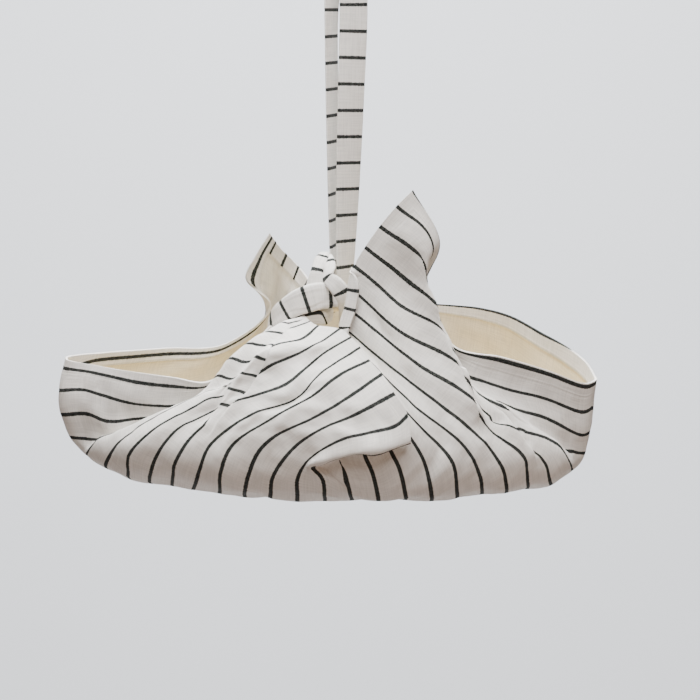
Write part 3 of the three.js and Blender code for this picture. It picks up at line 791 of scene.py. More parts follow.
@dataclass
class Wrinkles:
    """Small uneven waves all over the cloth, the same ones each time."""

    seed: int
    waves: tuple[Wave, ...] = (Wave(90, 0.9), Wave(70, 0.8), Wave(52, 0.6), Wave(38, 0.4),
                               Wave(26, 0.25), Wave(17, 0.12))
    of_each: int = 3
    uneven: Place = (0.8, 1.25)  # how far a wave's length strays, as shares
    sway: float = 14.0  # how far the crests bend to each side, in millimetres
    sway_length: float = 47.0  # millimetres for each radian of the bends
    sway_start: Place = (0.4, 2.1)  # in radians

    def __post_init__(self) -> None:
        """Draws the waves: each one's direction over its length, its start and its height."""
        random = np.random.default_rng(self.seed)
        self.drawn = []
        for wave in self.waves:
            for _ in range(self.of_each):
                angle = random.uniform(0, math.pi)
                turn = 2 * math.pi / (wave.length * random.uniform(*self.uneven))
                direction = np.array([math.cos(angle), math.sin(angle)]) * turn
                self.drawn.append((direction, random.uniform(0, 2 * math.pi), wave.height))

    def at(self, flat: np.ndarray) -> np.ndarray:
        """Adds the waves up.

        Args:
            flat: places in the flat cloth, in millimetres.

        Returns:
            The height of the cloth there, in millimetres.
        """
        bent = flat + self.sway * np.sin(flat[:, ::-1] / self.sway_length + self.sway_start)
        return sum(h * np.sin(bent @ direction + start) for direction, start, h in self.drawn) / 2


class Maths:
    """A shader socket on which sums can be written as Python expressions."""

    def __init__(self, tree: bpy.types.NodeTree, socket: bpy.types.NodeSocket) -> None:
        """Wraps a socket.

        Args:
            tree: the node tree it belongs to.
            socket: the output socket.
        """
        self.tree = tree
        self.socket = socket

    def sum_of(self, operation: str, *values: object) -> "Maths":
        """Adds a Math node for one operation."""
        places = dict(enumerate(values))
        return add_node(self.tree, "ShaderNodeMath", {"operation": operation}, places)

    def __add__(self, other: object) -> "Maths":
        """Adds."""
        return self.sum_of("ADD", self, other)

    __radd__ = __add__

    def __mul__(self, other: object) -> "Maths":
        """Multiplies."""
        return self.sum_of("MULTIPLY", self, other)

    __rmul__ = __mul__

    def __sub__(self, other: object) -> "Maths":
        """Subtracts."""
        return self.sum_of("SUBTRACT", self, other)

    def __rsub__(self, other: object) -> "Maths":
        """Subtracts from a number."""
        return self.sum_of("SUBTRACT", other, self)

    def __abs__(self) -> "Maths":
        """Takes the size without the sign."""
        return self.sum_of("ABSOLUTE", self)

    def fraction(self) -> "Maths":
        """The part after the decimal point."""
        return self.sum_of("FRACT", self)

    def sine(self) -> "Maths":
        """The sine."""
        return self.sum_of("SINE", self)

    def ramp(self, low: float, high: float, start: float = 0.0, end: float = 1.0) -> "Maths":
        """Rises or falls smoothly between two values.

        Args:
            low: the value where the ramp starts.
            high: the value where it ends.
            start: what it gives before the ramp.
            end: what it gives after it.

        Returns:
            The height of the ramp.
        """
        places = dict(enumerate((self, low, high, start, end)))
        return add_node(self.tree, "ShaderNodeMapRange", {"interpolation_type": "SMOOTHSTEP"}, places)


def add_node(tree: bpy.types.NodeTree, kind: str, settings: dict[str, object],
             values: dict[int | str, object], output: int | str = 0) -> Maths:
    """Adds one node.

    Args:
        tree: the node tree.
        kind: the node's type.
        settings: properties that are set before its sockets.
        values: numbers, tuples or wrapped sockets by socket name or place.
        output: which output to return.

    Returns:
        That output, wrapped.
    """
    node = tree.nodes.new(kind)
    for key, value in settings.items():
        setattr(node, key, value)
    for key, value in values.items():
        if isinstance(value, Maths):
            tree.links.new(value.socket, node.inputs[key])
        else:
            node.inputs[key].default_value = value
    return Maths(tree, node.outputs[output])


def add_noise(tree: bpy.types.NodeTree, spot: Maths, scale: float, detail: float,
              roughness: float = 0.5, dimensions: str = "3D") -> Maths:
    """Adds a noise.

    Args:
        tree: the node tree.
        spot: where it is looked up.
        scale: how fine it is.
        detail: how many finer noises are laid over it.
        roughness: how strong these are.
        dimensions: 2D or 3D.

    Returns:
        The noise, about 0.5.
    """
    values = {"Vector": spot, "Scale": scale, "Detail": detail, "Roughness": roughness}
    return add_node(tree, "ShaderNodeTexNoise", {"noise_dimensions": dimensions}, values)


def read_map(tree: bpy.types.NodeTree, name: str) -> tuple[Maths, Maths]:
    """Reads one of a piece's maps.

    Args:
        tree: the node tree.
        name: the map's name.

    Returns:
        Its first and its second value.
    """
    place = add_node(tree, "ShaderNodeUVMap", {"uv_map": name}, {})
    first = add_node(tree, "ShaderNodeSeparateXYZ", {}, {0: place})
    return first, Maths(tree, first.socket.node.outputs[1])


def blend_colours(tree: bpy.types.NodeTree, mask: object, low: object, high: object,
                  mode: str = "MIX") -> Maths:
    """Blends two colours.

    Args:
        tree: the node tree.
        mask: 0 gives the first colour and 1 the second.
        low: the first colour, a tuple or a wrapped socket.
        high: the second colour.
        mode: the Mix node's blend type.

    Returns:
        The blended colour, wrapped.
    """
    return add_node(tree, "ShaderNodeMix", {"data_type": "RGBA", "blend_type": mode},
                    {0: mask, 6: low, 7: high}, 2)


def new_material(name: str) -> tuple[bpy.types.Material, bpy.types.NodeTree]:
    """Makes an empty material.

    Args:
        name: its name.

    Returns:
        The material and its tree.
    """
    material = bpy.data.materials.new(name)
    material.use_nodes = True
    return material, material.node_tree


def fill_shader(tree: bpy.types.NodeTree, values: dict[str, object]) -> None:
    """Sets inputs of a material's Principled BSDF.

    Args:
        tree: the material's tree.
        values: numbers or wrapped sockets by input.
    """
    shader = tree.nodes["Principled BSDF"]
    for name, value in values.items():
        if isinstance(value, Maths):
            tree.links.new(value.socket, shader.inputs[name])
        else:
            shader.inputs[name].default_value = value


@dataclass(frozen=True)
class ClothPlace:
    """Where a place of the canvas lies, as shader sockets."""

    tree: bpy.types.NodeTree
    stripe: Maths  # pitches across the print
    across: Maths  # the same in millimetres
    along: Maths  # millimetres along the stripes
    printed: Maths  # 1 on the printed face and 0 inside
    edge: Maths  # centimetres to the nearest edge

    @classmethod
    def read(cls, tree: bpy.types.NodeTree) -> "ClothPlace":
        """Reads a piece's print map, in pitches, and its face map.

        Args:
            tree: the node tree.

        Returns:
            The place.
        """
        stripe, row = read_map(tree, "print")
        printed, edge = read_map(tree, "face")
        return cls(tree, stripe, stripe * PITCH, row * PITCH, printed.ramp(0.45, 0.55), edge)

    def noise(self, scale: Place, detail: float, roughness: float) -> Maths:
        """Adds a noise that lies in the cloth.

        Args:
            scale: how fine it is across and along, per millimetre.
            detail: how many finer noises are laid over it.
            roughness: how strong these are.

        Returns:
            The noise, about 0.5.
        """
        spot = add_node(self.tree, "ShaderNodeCombineXYZ", {},
                        {0: self.across * scale[0], 1: self.along * scale[1]})
        return add_noise(self.tree, spot, 1.0, detail, roughness, "2D")


@dataclass(frozen=True)
class StripedCanvas:
    """Matte woven canvas, striped on its printed face and plain inside.

    The print map counts pitches across and along the cloth. The face map holds 1 on the printed
    face and 0 inside, and the distance from the nearest edge in centimetres.
    """

    cream: Colour = (0.875, 0.845, 0.795, 1)
    # The plain inside is the cloth's own warm tone, painted darker and more ochre deep in the bag for the
    # shade there, and paler toward the hems.
    inside: Colour = (0.89, 0.78, 0.55, 1)
    inside_unshaded: Colour = (0.88, 0.84, 0.75, 1)
    inside_shade_reach: Place = (140, 300)  # millimetres from the keel over which the painted shade inside gives way to the paler tone
    stripe: Colour = (0.0095, 0.0125, 0.0115, 1)
    stripe_worn: Colour = (0.022, 0.026, 0.024, 1)
    half_stripe: float = 2.1  # in millimetres
    stripe_soft: float = 0.28  # how softly a stripe ends, in millimetres
    ragged: float = 1.1  # how far its edges fray
    ragged_weft: float = 0.9  # how far they fray with the weft
    thread: float = 0.85  # the pitch of the weave in millimetres
    warp_slub: Place = (0.62, 0.03)  # how fine the uneven threads are, across and along
    weft_slub: Place = (0.035, 0.75)
    hem_seam: float = 1.25  # where the hem is stitched, in centimetres
    hem_ends: Place = (1.42, 1.62)  # where its step shows through
    weave_depth: float = 0.00045  # in metres
    relief: float = 0.55

    def material(self, name: str) -> bpy.types.Material:
        """Builds the material.

        Args:
            name: its name.

        Returns:
            The material.
        """
        material, tree = new_material(name)
        place = ClothPlace.read(tree)
        warp = place.noise(self.warp_slub, 2.0, 0.65)
        weft = place.noise(self.weft_slub, 2.0, 0.65)
        rag = place.noise((0.55, 0.55), 2.0, 0.7)
        threads = (warp + weft) * 0.5
        ink = blend_colours(tree, threads.ramp(0.3, 0.7), self.stripe, self.stripe_worn)
        colour = blend_colours(tree, self.stripes(place, rag, weft), self.ground(place, threads), ink)
        bump = add_node(tree, "ShaderNodeBump", {}, {"Height": self.height(place, threads, rag),
                                                     "Strength": self.relief,
                                                     "Distance": self.weave_depth})
        fill_shader(tree, {"Base Color": colour, "Roughness": 0.86 + 0.1 * (threads - 0.5),
                           "Normal": bump, "Sheen Weight": 0.03, "Sheen Roughness": 0.55,
                           "Specular IOR Level": 0.12})
        return material

    def stripes(self, place: ClothPlace, rag: Maths, weft: Maths) -> Maths:
        """Masks the stripes, whose edges follow the threads.

        Args:
            place: where it is evaluated.
            rag: the noise that frays their edges.
            weft: the thickness of the weft.

        Returns:
            1 in a stripe and 0 beside it.
        """
        from_stripe = abs((place.stripe + 0.5).fraction() - 0.5) * PITCH
        frayed = from_stripe + (rag - 0.5) * self.ragged + (weft - 0.5) * self.ragged_weft
        mask = frayed.ramp(self.half_stripe + self.stripe_soft, self.half_stripe - self.stripe_soft)
        return mask * place.printed * (0.95 + 0.05 * rag.ramp(0.35, 0.6))

    def ground(self, place: ClothPlace, threads: Maths) -> Maths:
        """Colours the cloth between the stripes, and its plain inside, with painted shade that makes the
        inside darker and more ochre deep in the bag.

        Args:
            place: where it is evaluated.
            threads: the thickness of the threads.

        Returns:
            The colour.
        """
        plain_with_shade = blend_colours(place.tree, abs(place.along).ramp(*self.inside_shade_reach),
                              self.inside, self.inside_unshaded)
        ground = blend_colours(place.tree, place.printed, plain_with_shade, self.cream)
        blotch = place.noise((0.016, 0.016), 3.0, 0.6)
        tone = 0.88 + 0.14 * threads.ramp(0.36, 0.62) + 0.06 * (blotch - 0.5)
        tint = add_node(place.tree, "ShaderNodeCombineColor", {}, {0: tone, 1: tone, 2: tone})
        return blend_colours(place.tree, 1.0, ground, tint, "MULTIPLY")

    def height(self, place: ClothPlace, threads: Maths, rag: Maths) -> Maths:
        """Adds up the cloth's relief: its weave, its uneven threads and its stitched hem.

        Args:
            place: where it is evaluated.
            threads: the thickness of the threads.
            rag: a fine noise.

        Returns:
            The height.
        """
        turn = 2 * math.pi / self.thread
        weave = (place.across * turn).sine() * (place.along * turn).sine()
        seam = abs(place.edge - self.hem_seam).ramp(0.0, 0.16, 1.0, 0.0)
        hem = place.edge.ramp(*self.hem_ends, 1.0, 0.0)
        return weave * 0.25 + threads * 1.3 + rag * 0.25 - seam * 0.8 + hem * 0.6


@dataclass(frozen=True)
class Thread:
    """Cream sewing thread with its twist."""

    colour: Colour = (0.80, 0.78, 0.71, 1)
    shade: Colour = (0.66, 0.63, 0.55, 1)
    fineness: float = 900.0
    twist_depth: float = 0.0002

    def material(self, name: str) -> bpy.types.Material:
        """Builds the material.

        Args:
            name: its name.

        Returns:
            The material.
        """
        material, tree = new_material(name)
        spot = add_node(tree, "ShaderNodeTexCoord", {}, {}, "Object")
        twist = add_noise(tree, spot, self.fineness, 1.0)
        colour = blend_colours(tree, twist, self.colour, self.shade)
        bump = add_node(tree, "ShaderNodeBump", {},
                        {"Height": twist, "Strength": 0.5, "Distance": self.twist_depth})
        fill_shader(tree, {"Base Color": colour, "Normal": bump, "Roughness": 0.75})
        return material


@dataclass(frozen=True)
class Paint:
    """The matte paint of the studio floor, a little cloudy."""

    colour: Colour
    roughness: float = 0.9
    cloud_scale: float = 1.5
    darkest: float = 0.96  # the tone of its clouds

    def material(self, name: str) -> bpy.types.Material:
        """Builds the material.

        Args:
            name: its name.

        Returns:
            The material.
        """
        material, tree = new_material(name)
        spot = add_node(tree, "ShaderNodeTexCoord", {}, {}, "Object")
        cloudy = add_noise(tree, spot, self.cloud_scale, 2.0)
        darker = tuple(c * self.darkest for c in self.colour[:3]) + (1.0,)
        colour = blend_colours(tree, cloudy, self.colour, darker)
        fill_shader(tree, {"Base Color": colour, "Roughness": self.roughness})
        return material


@dataclass
class LaidPleat:
    """A pleat with its line in the flat cloth."""

    pleat: Pleat
    least_slant: float = 0.2  # bounds how far a sideways pleat reaches where its line lies across
    full_lap: float = 3.0  # the overlap from which the top layer stands fully proud
    least_half: float = 0.02

    def __post_init__(self) -> None:
        """Smooths the pleat's line."""
        self.line = FlatLine(tuple((row.stripe, row.share) for row in self.pleat.rows))

    def lay(self, flat: np.ndarray) -> tuple[np.ndarray, np.ndarray]:
        """Laps the cloth over itself.

        Args:
            flat: rows of places in the flat cloth, in millimetres.

        Returns:
            How far each place is pulled within the flat cloth, and how far it is lifted.
        """
        pleat = self.pleat
        away, share, left = self.line.measure(flat)
        if pleat.sideways:
            away = away / np.maximum(left[:, 0], self.least_slant)
            left = np.broadcast_to([1.0, 0.0], left.shape)
        lap = np.interp(share, self.line.knots, [row.lap for row in pleat.rows])
        drop = np.interp(share, self.line.knots, [row.drop for row in pleat.rows])
        rise = pleat.lift * soft_step(0, self.full_lap, lap)
        half = np.maximum(lap / 2, self.least_half)
        below, above = away < -half, away > half
        between = np.clip(away / half, -1, 1)
        under = 1 - soft_step(0, pleat.under, -away - half)
        over = 1 - soft_step(0, pleat.over, away - half)
        push = np.where(below, -under, np.where(above, over, between))
        hollow = drop * (1 - soft_step(0, pleat.sink, -away - half))
        slope = (rise - drop) / 2 + between * (rise + drop) / 2
        lift = np.where(below, -hollow, np.where(above, rise * over, slope))
        return -left * (push * lap)[:, None], lift


@dataclass
class ClothPrint:
    """How the print lies on the cloth: straight, except where the cloth is slanted or gathered.

    Lengths are in pitches, counted across from the right edge and along from the keel.
    """

    pleat: FlatLine  # the panel's pleat, where the gathered part starts
    crease: FlatLine
    hem_depth: float  # in millimetres
    back_slant: float = 0.43  # how far the print slips at the back, toward the left edge
    back_slant_along: Place = (-0.3, 1.6)  # from where to where behind the keel this grows
    back_slant_across: Place = (23, LEFT_EDGE)
    rim_slip: float = 0.13  # how far it slips beside the right edge
    rim_slip_across: Place = (3, 0.5)
    rim_slip_start: Place = (-4, -1)
    rim_slip_end: Place = (10, 5)
    fold_slip: float = 0.14  # how far it slips at the flap's fold
    fold_slip_along: Place = (5, 10)
    softness: float = 9.0  # how sharply the print bends beyond the crease
    gathers: Place = (0.48, 0.575)  # the shares between which it starts to run off
    gathered_from: Place = (19, 0.4)  # the stripe and share beyond which the cloth is gathered

    def places(self, flat: np.ndarray, turned: np.ndarray, centres: np.ndarray) -> np.ndarray:
        """Works out which place of the print shows.

        Args:
            flat: rows of places in the flat cloth, in millimetres.
            turned: true where the place lies on the turned-in hem.
            centres: the middle of each place's cell, which tells its side of a crease.

        Returns:
            Rows of places in the print.
        """
        across, along = flat[:, 0] / PITCH, flat[:, 1] / PITCH
        share = flat[:, 1] / HALF_LENGTH
        slant = self.back_slant * soft_step(*self.back_slant_along, -along)
        slip = slant * soft_step(*self.back_slant_across, across)
        slip -= (self.rim_slip * soft_step(*self.rim_slip_across, across)
                 * soft_step(*self.rim_slip_start, along) * soft_step(*self.rim_slip_end, along))
        slip -= (self.fold_slip * np.exp(-((across - FLAP_FOLD) ** 2))
                 * soft_step(*self.fold_slip_along, along))
        slip += self.gathered(flat, centres)
        for slide in SLIDES:
            slip += slide.across * np.exp(-((across - slide.stripe) / slide.reach_across) ** 2
                                          - ((share - slide.share) / slide.reach_along) ** 2)
        right = across * PITCH < self.hem_depth
        left = (LEFT_EDGE - across) * PITCH < self.hem_depth
        mirrored = np.where(left, 2 * LEFT_EDGE + slant - across, across + slip)
        mirrored = np.where(right, slip - across, mirrored)
        return np.stack([np.where(turned, mirrored, across + slip), along], 1)

    def gathered(self, flat: np.ndarray, centres: np.ndarray) -> np.ndarray:
        """Works out how far the print runs off its course where the cloth is gathered.

        Args:
            flat: rows of places in the flat cloth, in millimetres.
            centres: the middle of each place's cell.

        Returns:
            The distances in pitches.
        """
        stripe, share = flat[:, 0] / PITCH, flat[:, 1] / HALF_LENGTH
        bend = np.clip(BEYOND_CREASE.shift(stripe, share) * self.softness, -40, 40)
        beyond = np.log1p(np.exp(bend)) / self.softness
        between = BETWEEN.shift(stripe, share) * soft_step(*self.gathers, share)
        past_pleat = self.pleat.measure(centres)[0] < 0
        past_crease = self.crease.measure(centres)[0] < 0
        first_stripe, first_share = self.gathered_from
        reach = (centres[:, 1] > first_share * HALF_LENGTH) & (centres[:, 0] > first_stripe * PITCH)
        return np.where(reach & past_pleat, np.where(past_crease, beyond, between), 0)


@dataclass
class BodyCloth:
    """The striped cloth of the bag, hemmed on all four edges. Sizes are in millimetres."""

    thickness: float = 1.1
    hem_depth: float = 15.0
    hem_layer: float = 1.0  # what the turned-in hem adds inside
    stitch_line: float = 12.5
    stitch_sunk: float = 0.05  # how far the stitches sink into the cloth
    cell_across: float = 3.5
    cell_front: float = 3.1
    cell_back: float = 4.7
    hem_cells: tuple[float, ...] = (0.7, 2.2, 5, 8.5, 12)  # lines this far from an edge
    hem_step: float = 0.4  # how close to the hem's own edge the cells end, on either side of it
    roll_first: Place = (0.6, 1.8)  # the lines nearest to the rolled edge
    roll_cell: float = 1.3
    fold_cell: float = 0.06  # at the flap's fold, in stripes
    fold_clear: float = 0.24  # the stripes beside the fold that have no other lines
    near_fold: float = 13.0  # cells this close to a pleat are cut finer
    wrinkled: Place = (0.4, 0.9)  # how strong the wrinkles are at an edge, and what is added inside
    wrinkled_from: float = 40.0  # how far from an edge they are at full height
    seam_samples: int = 700

    def __post_init__(self) -> None:
        """Prepares the drape, its pleats and the print."""
        self.drape = Drape()
        self.wrinkles = Wrinkles(7)
        self.pleats = [LaidPleat(pleat) for pleat in PLEATS]
        self.ripples = [(ripple, FlatLine(ripple.course)) for ripple in RIPPLES]
        self.crease = FlatLine(GATHER)
        self.print = ClothPrint(self.pleats[0].line, self.crease, self.hem_depth)

    def lines(self) -> tuple[np.ndarray, np.ndarray]:
        """Works out where the flat cloth is cut into cells.

        Returns:
            The lines across, in stripes, and along, in shares.
        """
        ends = [self.hem_depth - self.hem_step, self.hem_depth + self.hem_step]
        hem_lines = np.array([*self.hem_cells, *ends])
        first, second = self.roll_first
        roll_lines = np.array([first, *np.arange(second, self.hem_depth - 1, self.roll_cell), *ends])
        fold = FLAP_FOLD + np.arange(-3, 4) * self.fold_cell
        in_stripes = hem_lines / PITCH
        across = np.arange(in_stripes[-1], LEFT_EDGE - in_stripes[-1], self.cell_across / PITCH)
        across = across[np.abs(across - FLAP_FOLD) > self.fold_clear]
        across = np.sort(np.concatenate([[0], in_stripes, across[1:], fold,
                                         LEFT_EDGE - in_stripes, [LEFT_EDGE]]))
        in_shares, rolling = hem_lines / HALF_LENGTH, roll_lines / HALF_LENGTH
        front = np.arange(0, 1 - in_shares[-1], self.cell_front / HALF_LENGTH)
        step = self.cell_back / HALF_LENGTH
        back = np.arange(-step, in_shares[-1] - 1, -step)
        along = np.sort(np.concatenate([[-1], in_shares - 1, back[:-1], front[:-1], 1 - rolling, [1]]))
        return across, along

    def near_pleats(self, places: np.ndarray) -> np.ndarray:
        """Finds the places near a pleat or the crease.

        Args:
            places: rows of places in the flat cloth.

        Returns:
            True for each place near one of them.
        """
        near = np.zeros(len(places), bool)
        for line in [*(pleat.line for pleat in self.pleats), self.crease]:
            away, share, _ = line.measure(places)
            ends = np.minimum(np.linalg.norm(places - line.points[0], axis=1),
                              np.linalg.norm(places - line.points[-1], axis=1))
            beside = (share > 0.001) & (share < 0.999)
            near |= (np.abs(away) < self.near_fold) & (beside | (ends < self.near_fold))
        return near

    def flat_pattern(self) -> tuple[np.ndarray, list[Face]]:
        """Cuts the flat cloth into cells, finer near its pleats.

        Returns:
            Places in the flat cloth in millimetres, and the cells.
        """
        across, along = self.lines()
        grid = np.stack(np.meshgrid(across * PITCH, along * HALF_LENGTH, indexing="ij"), 2)
        rows, columns = grid.shape[:2]
        places = grid.reshape(-1, 2)
        flat = bmesh.new()
        corners = [flat.verts.new((*place, 0)) for place in places]
        for i in range(rows - 1):
            for a in range(i * columns, (i + 1) * columns - 1):
                b = a + columns
                flat.faces.new((corners[a], corners[b], corners[b + 1], corners[a + 1]))
        flat.verts.index_update()
        near = self.near_pleats(places)
        edges = [e for e in flat.edges if near[e.verts[0].index] and near[e.verts[1].index]]
        bmesh.ops.subdivide_edges(flat, edges=edges, cuts=1, use_grid_fill=True)
        flat.verts.index_update()
        cut = np.array([vert.co[:2] for vert in flat.verts])
        cells = [tuple(vert.index for vert in face.verts) for face in flat.faces]
        flat.free()
        return cut, cells

    def hang(self, flat: np.ndarray) -> np.ndarray:
        """Hangs places of the flat cloth in the bag's shape, with its pleats, ripples and rolled hem.

        Args:
            flat: rows of places in millimetres.

        Returns:
            The middle of the cloth there in millimetres of the layout.
        """
        at_edge, added = self.wrinkled
        inside = soft_step(0, self.wrinkled_from, self.edge_distance(flat))
        lift = self.wrinkles.at(flat) * (at_edge + added * inside)
        moved = flat.copy()
        for pleat in self.pleats:
            pull, proud = pleat.lay(flat)
            moved += pull
            lift += proud
        for ripple, line in self.ripples:
            away, share, _ = line.measure(flat)
            lift += ripple.height * fade(share) * np.exp(-((away / ripple.width) ** 2))
        return self.roll_hem(moved, lift)

    def roll_hem(self, moved: np.ndarray, lift: np.ndarray) -> np.ndarray:
        """Places the cloth, and rolls its front hem outward where it curls.

        Args:
            moved: rows of places in the flat cloth, in millimetres.
            lift: how far each stands off the drape.

        Returns:
            Rows of x, y and z in millimetres.
        """
        stripe, along = moved[:, 0] / PITCH, moved[:, 1]
        rolled = np.interp(stripe, [row.stripe for row in ROLL], [row.rolled for row in ROLL])
        rolled = soft_step(0, 1, rolled)
        start = HALF_LENGTH - ROLL_DEPTH
        beyond = np.maximum(along - start, 0)
        eased = ROLL_DEPTH * rolled * soft_step(start - ROLL_EASE, start, along)
        part = (np.minimum(along, start) + eased + beyond * (1 - rolled)) / HALF_LENGTH
        normals = self.drape.outward(stripe, part)
        base = self.drape.at(stripe, part) + normals * lift[:, None]
        arc = beyond * ROLL_SPREAD * rolled
        turn = np.minimum(arc / ROLL_RADIUS, math.pi)
        ahead = ROLL_RADIUS * np.sin(turn) - np.maximum(arc - math.pi * ROLL_RADIUS, 0)
        up = ROLL_RADIUS * (1 - np.cos(turn))
        hem = unit(self.drape.across(stripe, part))
        return base + np.cross(hem, normals) * ahead[:, None] + normals * up[:, None]

    def edge_distance(self, flat: np.ndarray) -> np.ndarray:
        """Measures the distance to the nearest edge of the flat cloth.

        Args:
            flat: rows of places in millimetres.

        Returns:
            The distances in millimetres.
        """
        sides = np.minimum(flat[:, 0], LEFT_EDGE * PITCH - flat[:, 0])
        return np.minimum(sides, HALF_LENGTH - np.abs(flat[:, 1]))

    def make(self, finish: bpy.types.Material) -> bpy.types.Object:
        """Makes the hanging cloth: its outer face, its inner face and the rim between them.

        Args:
            finish: its material.

        Returns:
            The piece.
        """
        flat, cells = self.flat_pattern()
        middle = self.hang(flat)
        normals = self.cell_normals(middle, cells)
        edge = self.edge_distance(flat)
        half = self.thickness / 2
        depth = half + self.hem_layer * (edge < self.hem_depth)
        outer, inner = middle + normals * half, middle - normals * depth[:, None]
        rim_points, rim_faces, owner = self.rim(cells, outer, inner, normals)
        fronts, backs = np.concatenate(cells), np.concatenate([cell[::-1] for cell in cells])
        rims = owner[np.array(rim_faces).ravel()]
        centres = np.array([flat[list(cell)].mean(0) for cell in cells])
        sizes = [len(cell) for cell in cells]
        on_hem = np.repeat(self.edge_distance(centres) < self.hem_depth, sizes)
        centres = np.repeat(centres, sizes, axis=0)
        prints = [self.print.places(flat[fronts], np.zeros(len(fronts), bool), centres),
                  self.print.places(flat[backs], on_hem, flat[backs]),
                  self.print.places(flat[rims], np.zeros(len(rims), bool), flat[rims])]
        edge_cm = edge / 10
        marks = [face_marks(1, edge_cm[fronts], len(fronts)),
                 face_marks(on_hem, np.where(on_hem, edge_cm[backs], NO_HEM), len(backs)),
                 face_marks(1, 0, len(rims))]
        insides = [tuple(len(flat) + k for k in reversed(cell)) for cell in cells]
        return make_piece("bag_cloth", np.concatenate([outer, inner, rim_points]),
                          [*cells, *insides, *rim_faces],
                          {"print": np.concatenate(prints), "face": np.concatenate(marks)}, finish)

    def seams(self) -> list[tuple[np.ndarray, np.ndarray]]:
        """Works out where the hems' topstitching runs, outside and inside.

        Returns:
            For each row, its places and the directions that stand off the cloth.
        """
        low, high = self.stitch_line, LEFT_EDGE * PITCH - self.stitch_line
        end = HALF_LENGTH - self.stitch_line
        sides = (((low, -end), (low, end)), ((high, -end), (high, end)),
                 ((low, end), (high, end)), ((low, -end), (high, -end)))
        share = np.linspace(0, 1, self.seam_samples)[:, None]
        out = self.thickness / 2 - self.stitch_sunk
        near = 0.4
        rows = []
        for first, last in sides:
            flat = np.array(first) * (1 - share) + np.array(last) * share
            middle = self.hang(flat)
            across = self.hang(flat + [near, 0]) - self.hang(flat - [near, 0])
            along = self.hang(flat + [0, near]) - self.hang(flat - [0, near])
            outward = unit(np.cross(along, across))
            rows.append((middle + outward * out, outward))
            rows.append((middle - outward * (out + self.hem_layer), -outward))
        return rows

    def cell_normals(self, points: np.ndarray, cells: list[Face]) -> np.ndarray:
        """Works out the outward normals of a net of cells.

        Args:
            points: rows of x, y and z.
            cells: the cells as places in those rows.

        Returns:
            A unit vector for each point.
        """
        total = np.zeros_like(points)
        first = np.array([cell[:3] for cell in cells])
        last = np.array([(cell[0], cell[2], cell[-1]) for cell in cells])
        for corners in (first, last):
            a, b, c = (points[corners[:, k]] for k in range(3))
            normal = np.cross(c - a, b - a)
            for k in range(3):
                np.add.at(total, corners[:, k], normal)
        return unit(total)

    def rim(self, cells: list[Face], outer: np.ndarray, inner: np.ndarray,
            normals: np.ndarray) -> tuple[np.ndarray, list[Face], np.ndarray]:
        """Closes the sheet round its four edges with a rounded fold.

        Args:
            cells: the cells of the flat pattern.
            outer: the outer face's points.
            inner: the inner face's points.
            normals: the outward normals.

        Returns:
            Points that follow the outer and inner ones, the faces between them, and for every
            point of the piece the corner of the flat pattern it belongs to.
        """
        sides = dict.fromkeys(side for cell in cells for side in zip(cell, cell[1:] + cell[:1]))
        open_sides = [(a, b) for a, b in sides if (b, a) not in sides]
        beyond = {}
        for a, b in open_sides:
            for k in (a, b):
                beyond.setdefault(k, []).append(np.cross(normals[k], outer[b] - outer[a]))
        away = unit(np.array([np.sum(crosses, axis=0) for crosses in beyond.values()]))
        keys = np.array(list(beyond))
        total = np.linalg.norm(outer[keys] - inner[keys], axis=1)[:, None]
        loops = [outer[keys] * (1 - t) + inner[keys] * t - away * total * RIM_BULGE for t in (0.25, 0.75)]
        count = len(outer)
        chains = {k: (k, 2 * count + i, 2 * count + len(keys) + i, count + k)
                  for i, k in enumerate(beyond)}
        faces = [(chains[a][k], chains[a][k + 1], chains[b][k + 1], chains[b][k])
                 for a, b in open_sides for k in range(3)]
        owner = np.concatenate([np.arange(count), np.arange(count), keys, keys])
        return np.concatenate(loops), faces, owner


